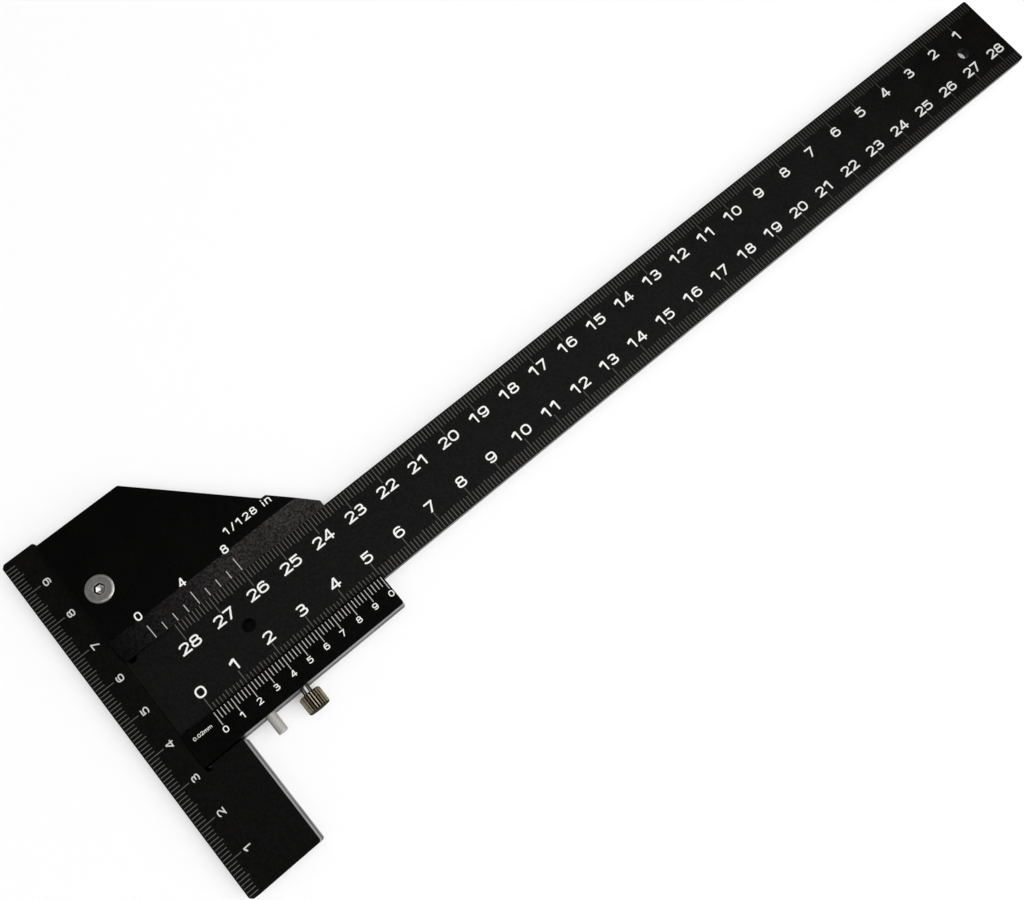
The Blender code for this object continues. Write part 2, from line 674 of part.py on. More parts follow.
def main():
    """Build the square: the rule, the slider on it and the clamping screw in the slider."""
    clear_scene()
    black = make_material("black anodised aluminium", (0.012, 0.011, 0.010), 0.45, 0.3)
    steel = make_material("bright steel", (0.56, 0.56, 0.55), 0.3, 1.0)
    pin_steel = make_material("satin pin", (0.38, 0.36, 0.33), 0.5, 0.8)
    brass = make_material("nickelled brass", (0.36, 0.30, 0.20), 0.35, 1.0)

    rule = make_empty("rule", (0, 0, 0))
    make_head_bar(black, rule)
    make_head_sole(black, rule)
    make_blade(black, rule)
    for number, spot in enumerate(HEAD_SCREWS + TANG_SCREWS, start=1):
        make_screw(f"sole_screw_{number}", spot, steel, rule)

    slider = make_empty("slider", (X_SLIDER, Y_BLADE_LOW, Z_BLADE_TOP))
    make_slider_base(black, slider)
    make_wing_plate(black, slider)
    make_vernier_strip(black, slider)
    for number, spot in enumerate(STRIP_SCREWS + WING_SCREWS, start=1):
        make_screw(f"base_screw_{number}", spot, steel, slider)
    make_wing_screw(steel, slider)
    make_stop_pin(pin_steel, slider)

    clamp = make_empty("clamp", (X_CLAMP, Y_STRIP_WALL, Z_CLAMP))
    make_slug(brass, clamp)
    make_knob(brass, clamp)
    make_stud(steel, clamp)


if __name__ == "__main__":
    main()
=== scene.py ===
"""Looks of the flat T-square: anodised plates, printed scales, turned screws, pin and knob, and the studio.

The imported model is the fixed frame. Everything is in metres in its coordinates: +X along the blade, +Y towards
the wing, +Z up. New pieces are surfaces computed with numpy, and they ride on the frame's bodies.
"""

import math

import bmesh
import bpy
import numpy as np
from bpy.props import FloatProperty, FloatVectorProperty, IntProperty, PointerProperty
from mathutils import Matrix, Vector
from mathutils.geometry import delaunay_2d_cdt


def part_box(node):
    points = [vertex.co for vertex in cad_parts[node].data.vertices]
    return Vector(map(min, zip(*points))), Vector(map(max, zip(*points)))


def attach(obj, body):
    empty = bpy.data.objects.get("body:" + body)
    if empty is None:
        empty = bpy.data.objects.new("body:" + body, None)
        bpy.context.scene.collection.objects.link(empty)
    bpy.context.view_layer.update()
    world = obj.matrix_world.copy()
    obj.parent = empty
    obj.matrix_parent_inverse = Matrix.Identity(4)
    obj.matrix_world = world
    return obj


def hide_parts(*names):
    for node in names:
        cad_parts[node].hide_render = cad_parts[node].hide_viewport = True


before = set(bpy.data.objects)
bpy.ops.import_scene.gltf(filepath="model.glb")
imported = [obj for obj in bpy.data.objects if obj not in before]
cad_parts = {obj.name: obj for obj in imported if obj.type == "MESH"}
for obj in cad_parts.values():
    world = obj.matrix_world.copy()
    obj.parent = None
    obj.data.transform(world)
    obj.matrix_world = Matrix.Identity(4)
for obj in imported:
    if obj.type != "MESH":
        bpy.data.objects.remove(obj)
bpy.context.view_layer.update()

bl_info = {
    "name": "Flat T-square looks",
    "version": (1, 0, 0),
    "blender": (4, 5, 0),
    "location": "3D View > Sidebar > T-square",
    "description": "Dresses a flat T-square with a sliding vernier wing",
    "category": "Object",
}

PHOTO_SIZE = (1024, 900)
MM = 0.001
CM = 0.01

HEAD_LOW, HEAD_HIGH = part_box("head_bar")
BLADE_LOW, BLADE_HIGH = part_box("blade")
WING_LOW, WING_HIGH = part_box("wing_plate")
STRIP_LOW, STRIP_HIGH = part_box("vernier_strip")
PIN_LOW, PIN_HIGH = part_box("stop_pin")
KNOB_LOW, KNOB_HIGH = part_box("thumbscrew_knob")
STUD_LOW, STUD_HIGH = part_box("thumbscrew_stud")
SCREW_NODES = sorted(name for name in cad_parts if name.startswith(("sole_screw", "base_screw")))

FLAT_CHORD = 1e-5           # merge distance of the lettering, as a share of its height
SHARP_ANGLE = math.radians(32)
SIDE_FACE, TOP_FACE = 0.3, 0.95     # a normal's upright part: less is a side face, more a level one
SEAM_LOW, SEAM_HIGH = 0.0008, 0.0012    # painted shade at the seam: a side face brightens between these heights above the seam
HEAD_SHADE, HEAD_FREE = 0.0006, 0.0002  # and between these distances inside the head's reach: painted shade from the head's arm
CLOUD_SIZE = 0.009          # of the anodised faces
CHAMFER_TINT = 9            # how much paler the chamfers of the plates are: rubbed edges and a painted edge highlight
INK_GRAIN = 0.00022
INK_PATCH = 0.0031
INK_COVER = 0.9
THIN_INK = 0.45             # tone of the thinnest ink, as a share of the full one
STEEL_PATCH = 0.0011
SLUG_GRAIN = 0.0004
FINE_RELIEF = 0.00001
RING_RELIEF = 0.000012
EDGE_TINT = 0.03            # how bright turned metal is at grazing angles, as a share of its colour: painted shade on the flanks


def length(name, description, default):
    """A size in metres that a user may change."""
    return FloatProperty(name=name, description=description, default=default, unit="LENGTH", precision=6)


def share(name, description, default):
    """A plain number from 0 to 1."""
    return FloatProperty(name=name, description=description, default=default, min=0, max=1, subtype="FACTOR")


def colour(name, description, default):
    """A colour, in linear light."""
    kind = {"subtype": "COLOR", "min": 0, "max": 1}
    return FloatVectorProperty(name=name, description=description, default=default, **kind)


def point(name, description, default):
    """A point in metres."""
    kind = {"subtype": "XYZ", "unit": "LENGTH"}
    return FloatVectorProperty(name=name, description=description, default=default, **kind)


def power(name, description, default):
    """A lamp's power in watts."""
    return FloatProperty(name=name, description=description, default=default, unit="POWER")


class TsquareScaleSettings(bpy.types.PropertyGroup):
    """Sizes and inks of the printed scales."""

    print_rise: length("Print rise", "Height of the print above the metal", 0.000015)
    print_sink: length("Print sink", "Depth of the print's underside in the metal", 0.000005)
    line_width: length("Line width", "Width of a line of the blade's and the head's scales", 0.00020)
    vernier_line: length("Vernier line width", "Width of a line of the two verniers", 0.00022)
    stroke: share("Stroke", "Stroke of the numerals, as a share of their height", 0.162)
    zero_from_head: length("Scale zero", "Zero of the lower scale, from the head's outer edge", 0.0189)
    zero_from_end: length("Reversed zero", "Zero of the upper scale, from the blade's free end", 0.0004)
    blade_numeral: length("Blade numerals", "Height of the blade's numerals", 0.00283)
    head_numeral: length("Head numerals", "Height of the head's numerals", 0.0019)
    wing_numeral: length("Wing numerals", "Height of the short vernier's numerals", 0.00222)
    strip_numeral: length("Strip numerals", "Height of the long vernier's numerals", 0.00162)
    ink: colour("Ink", "White of the blade's and the slider's numerals", (0.84, 0.84, 0.82))
    head_white: colour("Head white", "White of the head's numerals", (0.60, 0.60, 0.58))
    vernier_ink: colour("Vernier ink", "Tone of the verniers' lines", (0.42, 0.42, 0.40))
    blade_ink: colour("Blade ink", "Tone of the blade's lines", (0.108, 0.105, 0.099))
    head_ink: colour("Head ink", "Tone of the head's lines", (0.092, 0.092, 0.086))


class TsquareFinishSettings(bpy.types.PropertyGroup):
    """Colours and grain of the surfaces."""

    black: colour("Black", "Anodised black of the head and the blade", (0.0022, 0.0020, 0.0018))
    wing_black: colour("Wing black", "Anodised black of the slider", (0.0010, 0.0009, 0.0008))
    # The slope's colour runs from dark near the head to pale at the free end: a painted lighting gradient.
    slope_dark: colour("Slope, head end", "Milled slope near the head", (0.0015, 0.0014, 0.0014))
    slope_pale: colour("Slope, free end", "Milled slope at its far end", (0.0200, 0.0187, 0.0181))
    grain_size: length("Grain", "Size of the blasted grain", 0.00026)
    mottle_size: length("Mottle", "Size of the coarser mottle", 0.0006)
    roughness: share("Roughness", "Roughness of the anodised faces", 0.42)
    upper_sheen: share("Upper edges", "Specular level of the upper plates' side faces", 0.9)
    lower_sheen: share("Lower edges", "Specular level of the lower plates' side faces", 0.3)
    blade_sheen: share("Blade edges", "Specular level of the blade's side faces", 0.12)
    steel: colour("Steel", "Turned steel of the screws", (0.75, 0.74, 0.71))
    # The stud's tone is darkened: painted shade on its polished flanks.
    stud: colour("Stud", "Dark polished steel of the stud", (0.17, 0.167, 0.163))
    pin: colour("Pin", "Satin steel of the stop pin", (0.40, 0.39, 0.36))
    knob: colour("Knob", "Worn nickel over brass of the knob", (0.34, 0.305, 0.215))
    slug: colour("Slug", "Turned brass of the slug", (0.60, 0.45, 0.20))


class TsquareFittingSettings(bpy.types.PropertyGroup):
    """Sizes of the turned pieces."""

    knob_flutes: IntProperty(name="Flutes", description="Straight flutes round the knob", default=24, min=6)
    flute_depth: length("Flute depth", "Depth of a flute", 0.00042)
    knob_chamfer: length("Knob chamfer", "Chamfer at both ends of the knob", 0.00028)
    knob_seat: length("Knob seat", "Depth of the knob's bore", 0.0035)
    bore_clearance: length("Bore clearance", "Gap round the stud in the knob, on the radius", 0.00015)
    screw_pitch: length("Screw pitch", "Thread pitch of the small screws", 0.0005)
    stud_pitch: length("Stud pitch", "Thread pitch of the clamping screw", 0.00045)
    screw_socket: length("Small socket", "Across the flats of the small screws' sockets", 0.0015)
    wing_socket: length("Wing socket", "Across the flats of the wing screw's socket", 0.0025)


class TsquareStageSettings(bpy.types.PropertyGroup):
    """Camera, lamps and backdrop."""

    floor_radius: length("Floor radius", "Radius of the flat floor", 1.3)
    wall_height: length("Wall height", "Top of the curved backdrop", 1.1)
    floor: colour("Floor", "Colour of the floor and the backdrop", (0.94, 0.94, 0.94))
    floor_glow: share("Floor glow", "Part of the floor's white that doesn't depend on the lamps", 0.80)
    camera_place: point("Camera place", "Where the camera stands", (-0.08796, -0.05445, 0.26946))
    camera_aim: point("Camera aim", "Where the camera looks on the blade", (-0.03406, -0.01207, 0.00640))
    camera_turn: FloatProperty(
        name="Camera turn", description="Turn of the picture's upright from +Y towards +X", subtype="ANGLE",
        default=math.radians(41.035),
    )
    lens: FloatProperty(name="Lens", description="Focal length in millimetres", default=37.479)
    view_centre: FloatVectorProperty(
        name="View centre", description="Pixel that the lens points at", size=2, default=(536.57, 456.12),
    )
    key_power: power("Key power", "Main softbox, in watts", 21.0)
    strip_power: power("Strip power", "Narrow softbox, in watts", 1.3)
    sky: FloatProperty(name="Room", description="Brightness of the room above the backdrop", default=0.20)


def numbers(*values):
    """A float array of the given values."""
    return np.array(values, float)


class Graph:
    """A material whose nodes are added one by one round a Principled shader."""

    def __init__(self, name):
        self.material = bpy.data.materials.new(name)
        self.material.use_nodes = True
        self.tree = self.material.node_tree
        self.shader = self.tree.nodes["Principled BSDF"]

    def add(self, kind, sockets=(), **settings):
        """A node of that kind; a socket's value may be another node's output."""
        made = self.tree.nodes.new("ShaderNode" + kind)
        for key, value in settings.items():
            setattr(made, key, value)
        for key, value in dict(sockets).items():
            if isinstance(value, bpy.types.NodeSocket):
                self.tree.links.new(value, made.inputs[key])
            else:
                made.inputs[key].default_value = value
        return made

    def feed(self, output, socket):
        """Link an output to a socket of the shader."""
        self.tree.links.new(output, self.shader.inputs[socket])

    def place(self):
        """The object's own coordinates."""
        return self.add("TexCoord").outputs["Object"]

    def noise(self, vector, feature, detail=2.0):
        """Noise whose features have about the given size in metres."""
        made = self.add("TexNoise", {"Vector": vector, "Scale": 1 / feature, "Detail": detail})
        return made.outputs["Fac"]

    def spread(self, value, low, high, start=0.0, end=1.0):
        """A value between two levels carried to another range."""
        sockets = {"Value": value, "From Min": start, "From Max": end, "To Min": low, "To Max": high}
        return self.add("MapRange", sockets).outputs["Result"]

    def math(self, operation, first, second=0.0):
        """A sum, product or comparison of two values."""
        return self.add("Math", {0: first, 1: second}, operation=operation).outputs[0]

    def product(self, first, *others):
        """All the given values multiplied."""
        for other in others:
            first = self.math("MULTIPLY", first, other)
        return first

    def between(self, factor, first, second):
        """A blend of two values."""
        return self.add("Mix", {0: factor, 2: first, 3: second}).outputs[0]

    def mix(self, factor, first, second):
        """A blend of two colours."""
        return self.add("Mix", {0: factor, 6: first, 7: second}, data_type="RGBA").outputs[2]

    def dimmed(self, tone, factor):
        """A colour multiplied by a value."""
        return self.add("VectorMath", {0: tone, "Scale": factor}, operation="SCALE").outputs["Vector"]

    def bump(self, height, strength, depth):
        """Surface relief from a height."""
        made = self.add("Bump", {"Height": height, "Strength": strength, "Distance": depth})
        self.feed(made.outputs["Normal"], "Normal")


def scaled(tone, factor):
    """A colour made lighter or darker, with full alpha."""
    return (*(min(1.0, part * factor) for part in tone), 1.0)


def anodised(name, tone, settings, level, sheen, seam=None, slope=False, fade=None):
    """Blasted and anodised metal: fine grain, faint clouds, a mottle, and shinier milled side faces.

    A seam is the height of an upper plate's lower edge, where its side face is dulled: painted shade at the
    seam.
    The side faces are dulled as far as the head reaches, where the slider is pushed home: painted shade from the
    head's arm. The wing's slope is coarser, and painted from dark near the head to pale at the free end: a
    painted lighting gradient. A fade gives the X where the faces start to turn duller, the X of the dullest and
    the sheen
    left there: painted shade towards the blade's free end. The chamfers are paler: rubbed edges and a painted
    edge highlight.
    """
    graph = Graph(name)
    place = graph.place()
    grain = graph.noise(place, settings.grain_size, 3.0)
    mottle = graph.noise(place, settings.mottle_size, 3.0)
    clouds = graph.noise(place, CLOUD_SIZE)
    where = graph.add("SeparateXYZ", {"Vector": place})
    facing = graph.add("SeparateXYZ", {"Vector": graph.add("NewGeometry").outputs["True Normal"]})
    upright = graph.math("ABSOLUTE", facing.outputs["Z"])
    side = graph.math("LESS_THAN", upright, SIDE_FACE)
    leaning, tilted = graph.math("GREATER_THAN", upright, SIDE_FACE), graph.math("LESS_THAN", upright, TOP_FACE)
    # Paler chamfers in grain-shaped patches: rubbed edges and a painted edge highlight.
    wear = graph.product(leaning, tilted, graph.spread(grain, 0.0, 0.5, 0.45, 0.7))
    base = graph.mix(wear, scaled(tone, 1), scaled(tone, CHAMFER_TINT))
    contrast = graph.spread(mottle, 0.7, 1.4, 0.35, 0.65)
    relief = grain
    # The slope's colour runs from dark near the head to pale at the free end: a painted lighting gradient.
    if slope:
        along = graph.spread(where.outputs["X"], 0.0, 1.0, WING_LOW.x, WING_HIGH.x - WING_SLOPE_WIDTH)
        painted_gradient = graph.mix(along, scaled(settings.slope_dark, 1), scaled(settings.slope_pale, 1))
        below = graph.math("LESS_THAN", where.outputs["Y"], WING_RIDGE)
        below = graph.product(below, graph.math("SUBTRACT", 1.0, side))
        base = graph.mix(below, base, painted_gradient)
        contrast = graph.between(below, contrast, graph.spread(mottle, 0.35, 1.9, 0.35, 0.65))
        relief = graph.math("ADD", grain, graph.product(below, mottle))
    shade = graph.product(contrast, graph.spread(clouds, 0.85, 1.2, 0.3, 0.7))
    graph.feed(graph.dimmed(base, shade), "Base Color")
    bright = sheen
    # Painted shade: the side faces' sheen is dulled just above the seam.
    if seam is not None:
        bright = graph.spread(where.outputs["Z"], 0.08, 1.0, seam + SEAM_LOW, seam + SEAM_HIGH)
        # Painted shade from the head's arm: the side faces stay dull as far as the head reaches.
        shaded, free = HEAD_HIGH.x - HEAD_SHADE, HEAD_HIGH.x - HEAD_FREE
        bright = graph.product(bright, graph.spread(where.outputs["X"], 0.0, sheen, shaded, free))
    level = graph.spread(mottle, 0.84 * level, 1.18 * level, 0.35, 0.65)
    # Painted shade: the sheen dulls along X towards the blade's free end.
    if fade:
        start, end, left = fade
        level = graph.product(level, graph.spread(where.outputs["X"], 1.0, left, start, end))
    graph.feed(graph.between(side, level, bright), "Specular IOR Level")
    rough = graph.spread(clouds, settings.roughness - 0.05, settings.roughness + 0.06, 0.3, 0.7)
    graph.feed(graph.math("SUBTRACT", rough, graph.product(side, 0.12)), "Roughness")
    graph.bump(relief, 0.35, settings.grain_size * 0.12)
    return graph.material


def ink(name, tone, fade=None):
    """Matt print: a little thin in places, with the metal's grain showing through.

    A fade gives the X of the full tone, the X of the darkest and the share of the tone left there: painted
    shade.
    """
    graph = Graph(name)
    place = graph.place()
    grain = graph.noise(place, INK_GRAIN)
    patches = graph.noise(place, INK_PATCH)
    fine, coarse = graph.spread(grain, -0.10, 0.10, 0.35, 0.65), graph.spread(patches, -0.08, 0.08)
    cover = graph.math("ADD", graph.math("ADD", fine, coarse), INK_COVER)
    printed = graph.mix(cover, scaled(tone, THIN_INK), scaled(tone, 1.0))
    if fade:
        start, end, left = fade
        # Painted shade: the print darkens along X towards the blade's free end.
        along = graph.add("SeparateXYZ", {"Vector": place}).outputs["X"]
        printed = graph.dimmed(printed, graph.spread(along, 1.0, left, start, end))
    graph.feed(printed, "Base Color")
    graph.feed(graph.spread(grain, 0.5, 0.68), "Roughness")
    graph.shader.inputs["Specular IOR Level"].default_value = 0.2
    graph.bump(grain, 0.3, FINE_RELIEF)
    return graph.material


def turned(name, tone, roughness, marks, metallic=1.0, tarnish=0.35, dark=0.06):
    """Turned metal: rings that follow the profile, duller patches and a paleness per point.

    It reads the piece's own UV map and its paleness attribute: 1 for the full tone and 0 for the dark one. It
    holds painted shade in hollows, painted highlights and glints on rings and rims, and duller faces.
    """
    graph = Graph(name)
    place = graph.place()
    unrolled = graph.add("UVMap", uv_map="turned").outputs["UV"]
    rings = graph.add("Mapping", {"Vector": unrolled, "Scale": (0.6, marks, 1.0)}).outputs["Vector"]
    lines = graph.add("TexNoise", {"Vector": rings, "Scale": 1.0, "Detail": 3.0}).outputs["Fac"]
    patches = graph.noise(place, STEEL_PATCH, 4.0)
    # Painted shade and painted highlights: the paleness attribute darkens hollows and brightens rings and rims.
    shading_and_wear = graph.add("Attribute", attribute_name="wear").outputs["Fac"]
    pale = graph.product(shading_and_wear, graph.spread(patches, 1.0, 1.0 - tarnish, 0.4, 0.75))
    graph.feed(graph.mix(pale, scaled(tone, dark), scaled(tone, 1.0)), "Base Color")
    sheen = graph.math("ADD", graph.spread(lines, -0.09, 0.09, 0.3, 0.7), graph.spread(patches, -0.04, 0.06))
    graph.feed(graph.math("ADD", sheen, roughness), "Roughness")
    graph.shader.inputs["Metallic"].default_value = metallic
    # Painted shade: grazing reflections keep only a small share of the colour.
    graph.shader.inputs["Specular Tint"].default_value = scaled(tone, EDGE_TINT)
    graph.bump(lines, 0.18, RING_RELIEF)
    return graph.material


def give(piece, material):
    """Make it the piece's only material."""
    piece.data.materials.clear()
    piece.data.materials.append(material)


def mesh_of(name, points, faces):
    """A new mesh from an array of points and a list of faces."""
    mesh = bpy.data.meshes.new(name)
    mesh.from_pydata(points.tolist(), [], faces)
    return mesh


def shown(name, data):
    """A new object of the scene for the given mesh, lamp or camera."""
    made = bpy.data.objects.new(name, data)
    bpy.context.scene.collection.objects.link(made)
    return made


def settled(name, mesh, material, body):
    """A new piece at the origin, with its place in its mesh, that rides on a body."""
    piece = shown(name, mesh)
    give(piece, material)
    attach(piece, body)
    return piece


class Pen:
    """Strokes of one sign in a cell that is 1 high: round bands, bars and slanted strokes.

    Places are shares of the box that the strokes' centre lines fill, so a wide cell keeps the stroke's width.
    """

    SQUARENESS = 2.5        # exponent of the rounded square that the bands follow
    STEP = math.radians(15)

    def __init__(self, width, stroke):
        self.size = numbers(width - stroke, 1 - stroke)
        self.half = stroke / 2
        self.parts = []

    def spot(self, u, v):
        """Point of the cell for a place in the centre lines' box."""
        return self.half + self.size * numbers(u, v)

    def shape(self, *corners):
        """A polygon given by its corners' places."""
        self.parts.append(np.array([self.spot(u, v) for u, v in corners]))

    def bar(self, u0, v0, u1, v1):
        """An upright or level bar with square ends."""
        (x0, y0), (x1, y1) = self.spot(u0, v0) - self.half, self.spot(u1, v1) + self.half
        self.parts.append(numbers((x0, y0), (x1, y0), (x1, y1), (x0, y1)))

    def slant(self, u0, v0, u1, v1):
        """A slanted stroke whose ends are level: a parallelogram a stroke thick."""
        low, high = self.spot(u0, v0), self.spot(u1, v1)
        run, rise = high - low
        wide = numbers(self.half * math.hypot(run, rise) / abs(rise), 0)
        self.parts.append(np.array((low - wide, low + wide, high + wide, high - wide)))

    def arc(self, u, v, wide, tall, start, end):
        """A band along part of a superellipse.

        The centre line is centre + radius * sign(c)|c|^(2/n), and the band reaches half a stroke to either side
        of it along the normal sign(c)|c|^(2 - 2/n) / radius, for c the cosine and the sine of the angle.
        """
        start, end = math.radians(start), math.radians(end)
        angle = np.linspace(start, end, 1 + math.ceil(abs(end - start) / self.STEP))[:, None]
        turn = np.concatenate((np.cos(angle), np.sin(angle)), axis=1)
        radius = self.size * numbers(wide, tall)
        line = self.spot(u, v) + radius * np.sign(turn) * np.abs(turn) ** (2 / self.SQUARENESS)
        normal = np.sign(turn) * np.abs(turn) ** (2 - 2 / self.SQUARENESS) / radius
        normal *= self.half / np.linalg.norm(normal, axis=1)[:, None]
        inner, outer = line - normal, line + normal
        self.parts.extend(np.stack((inner[:-1], outer[:-1], outer[1:], inner[1:]), axis=1))


# Each sign: its width as a share of a wide numeral, and its strokes, each a method of the pen and its places
SIGNS = {
    "0": (1.0, [(Pen.arc, 0.5, 0.5, 0.5, 0.5, 0, 360)]),
    "1": (1.0, [
        (Pen.bar, 0.67, 0, 0.67, 1),
        (Pen.shape, (0, 0.66), (0.67, 0.88), (0.67, 1.13), (0.5, 1.13), (0, 0.92)),
    ]),
    "2": (1.0, [
        (Pen.arc, 0.5, 0.72, 0.47, 0.28, 172, -38), (Pen.slant, 0.06, -0.02, 0.86, 0.54),
        (Pen.bar, 0, 0, 1, 0),
    ]),
    "3": (0.98, [
        (Pen.arc, 0.48, 0.76, 0.44, 0.24, 160, -90), (Pen.arc, 0.48, 0.26, 0.52, 0.26, 90, -162),
        (Pen.bar, 0.34, 0.52, 0.5, 0.52),
    ]),
    "4": (1.04, [
        (Pen.slant, 0.02, 0.24, 0.70, 1.12), (Pen.bar, 0, 0.24, 1, 0.24), (Pen.bar, 0.74, 0, 0.74, 1),
    ]),
    "5": (0.98, [
        (Pen.bar, 0.08, 1, 0.92, 1), (Pen.bar, 0.08, 0.58, 0.08, 1),
        (Pen.arc, 0.46, 0.33, 0.54, 0.33, 138, -162),
    ]),
    "6": (1.0, [
        (Pen.arc, 0.5, 0.31, 0.5, 0.31, 0, 360), (Pen.arc, 0.52, 0.5, 0.52, 0.5, 38, 180),
        (Pen.bar, 0, 0.32, 0, 0.5),
    ]),
    "7": (0.94, [(Pen.bar, 0, 1, 1, 1), (Pen.slant, 0.28, -0.12, 0.92, 0.9)]),
    "8": (1.0, [(Pen.arc, 0.5, 0.76, 0.43, 0.24, 0, 360), (Pen.arc, 0.5, 0.27, 0.5, 0.27, 0, 360)]),
    "9": (1.0, [
        (Pen.arc, 0.5, 0.69, 0.5, 0.31, 0, 360), (Pen.arc, 0.48, 0.5, 0.52, 0.5, 218, 360),
        (Pen.bar, 1, 0.5, 1, 0.68),
    ]),
    "/": (0.72, [(Pen.slant, 0.0, -0.12, 1.0, 1.12)]),
    ".": (0.30, [(Pen.bar, 0.5, 0, 0.5, 0)]),
    "i": (0.30, [(Pen.bar, 0.5, 0, 0.5, 0.62), (Pen.bar, 0.5, 1, 0.5, 1)]),
    "n": (0.86, [(Pen.bar, 0, 0, 0, 0.72), (Pen.arc, 0.5, 0.44, 0.5, 0.3, 0, 180), (Pen.bar, 1, 0, 1, 0.44)]),
    "m": (1.40, [
        (Pen.bar, 0, 0, 0, 0.72), (Pen.bar, 0.5, 0, 0.5, 0.5), (Pen.bar, 1, 0, 1, 0.5),
        (Pen.arc, 0.25, 0.46, 0.25, 0.26, 0, 180), (Pen.arc, 0.75, 0.46, 0.25, 0.26, 0, 180),
    ]),
    " ": (0.5, []),
}


def flat_sign(sign, wide, stroke):
    """The sign as one flat triangle mesh: points, triangles and the directed edges of its rim.

    The strokes overlap, so a constrained triangulation joins them and drops what lies in none of them. A rim
    edge is one whose opposite direction no triangle has.
    """
    share_of_wide, strokes = SIGNS[sign]
    pen = Pen(max(stroke, share_of_wide * wide), stroke)
    for draw, *places in strokes:
        draw(pen, *places)
    if not pen.parts:
        return None
    pairs = [(part, np.roll(part, -1, axis=0)) for part in pen.parts]
    areas = [np.sum(part[:, 0] * after[:, 1] - part[:, 1] * after[:, 0]) for part, after in pairs]
    parts = [part if area > 0 else part[::-1] for part, area in zip(pen.parts, areas)]
    starts = np.cumsum([0] + [len(part) for part in parts])
    loops = [list(range(start, start + len(part))) for start, part in zip(starts, parts)]
    corners = [Vector(point) for point in np.concatenate(parts).tolist()]
    points, _, triangles, _, _, owners = delaunay_2d_cdt(corners, [], loops, 1, FLAT_CHORD)
    kept = np.array([triangle for triangle, owner in zip(triangles, owners) if owner])
    edges = np.concatenate((kept[:, [0, 1]], kept[:, [1, 2]], kept[:, [2, 0]]))
    known = set(map(tuple, edges.tolist()))
    rim = np.array([edge for edge in edges.tolist() if (edge[1], edge[0]) not in known])
    return np.array([tuple(point) for point in points]), kept, rim


class Print:
    """Raised print on one surface, collected as arrays of points, triangles and quads."""

    # Corners of a box's six faces: 0 to 3 go round its top, 4 to 7 round its underside
    BOX = ((0, 1, 2, 3), (7, 6, 5, 4), (4, 5, 1, 0), (5, 6, 2, 1), (6, 7, 3, 2), (7, 4, 0, 3))

    def __init__(self, settings, surface):
        self.settings = settings
        self.surface = surface
        self.points = np.zeros((0, 3))
        self.triangles = np.zeros((0, 3), int)
        self.quads = np.zeros((0, 4), int)
        self.flat_signs = {}

    def lines(self, left, right, low, high):
        """One flat box for each line, between the given X and Y values."""
        left, right, low, high = np.broadcast_arrays(left, right, low, high)
        x = np.stack((left, right, right, left), axis=1)
        y = np.stack((low, low, high, high), axis=1)
        top = np.stack((x, y, np.ones_like(x)), axis=2)
        under = top * numbers(1, 1, 0)
        corners = np.concatenate((top, under), axis=1).reshape(-1, 3)
        sides = np.array(self.BOX)
        first = len(self.points) + 8 * np.arange(len(left))
        self.quads = np.concatenate((self.quads, (first[:, None, None] + sides).reshape(-1, 4)))
        self.points = np.concatenate((self.points, corners))

    def text(self, words, centre, height, wide, gap, up=(0, 1)):
        """A row of signs centred on a point; up is the way that the signs stand."""
        stroke = self.settings.stroke
        widths = numbers(*(max(stroke, SIGNS[sign][0] * wide) for sign in words))
        starts = np.concatenate(((0,), np.cumsum(widths + gap)))
        whole = starts[-1] - gap
        up = numbers(*up)
        along = numbers(up[1], -up[0])
        for sign, start in zip(words, starts):
            key = (sign, wide)
            if key not in self.flat_signs:
                self.flat_signs[key] = flat_sign(sign, wide, stroke)
            if self.flat_signs[key] is None:
                continue
            cell, triangles, rim = self.flat_signs[key]
            local = (cell + numbers(start - whole / 2, -0.5)) * height
            flat = numbers(*centre) + local[:, :1] * along + local[:, 1:] * up
            count, first = len(flat), len(self.points)
            top = np.column_stack((flat, np.ones(count)))
            under = np.column_stack((flat, np.zeros(count)))
            walls = np.column_stack((rim[:, 0] + count, rim[:, 1] + count, rim[:, 1], rim[:, 0]))
            self.points = np.concatenate((self.points, top, under))
            backs = triangles[:, ::-1] + count
            self.triangles = np.concatenate((self.triangles, triangles + first, backs + first))
            self.quads = np.concatenate((self.quads, walls + first))

    def finish(self, name, material, body, crease=None):
        """Settle the print on its surface: its top a rise above it, its underside a little in the metal."""
        mesh = mesh_of(name, self.points, self.triangles.tolist() + self.quads.tolist())
        mesh.validate()
        if crease is not None:
            bm = bmesh.new()
            bm.from_mesh(mesh)
            cut = bm.verts[:] + bm.edges[:] + bm.faces[:]
            bmesh.ops.bisect_plane(bm, geom=cut, plane_co=(0, crease, 0), plane_no=(0, 1, 0), dist=1e-8)
            bm.to_mesh(mesh)
            bm.free()
        spots = np.zeros(3 * len(mesh.vertices))
        mesh.vertices.foreach_get("co", spots)
        spots = spots.reshape(-1, 3)
        thick = self.settings.print_rise + self.settings.print_sink
        spots[:, 2] = self.surface(spots[:, 1]) - self.settings.print_sink + spots[:, 2] * thick
        mesh.vertices.foreach_set("co", spots.ravel())
        mesh.update()
        settled(name, mesh, material, body)


def line_lengths(marks, short, half, long):
    """Length of each millimetre line: longest at the centimetres, a little longer at the halves."""
    return np.where(marks % 10 == 0, long, np.where(marks % 5 == 0, half, short))


def level_at(height):
    """A level surface."""
    return lambda across: np.full_like(across, height)


WING_SLOPE_WIDTH = 0.0060
WING_SLOPE_DROP = 0.0012
WING_RIDGE = WING_LOW.y + WING_SLOPE_WIDTH


def wing_surface(across):
    """Height of the wing's top: level above the ridge, and falling in a straight slope below it."""
    below = np.clip((WING_RIDGE - across) / WING_SLOPE_WIDTH, 0, 1)
    return WING_HIGH.z - WING_SLOPE_DROP * below


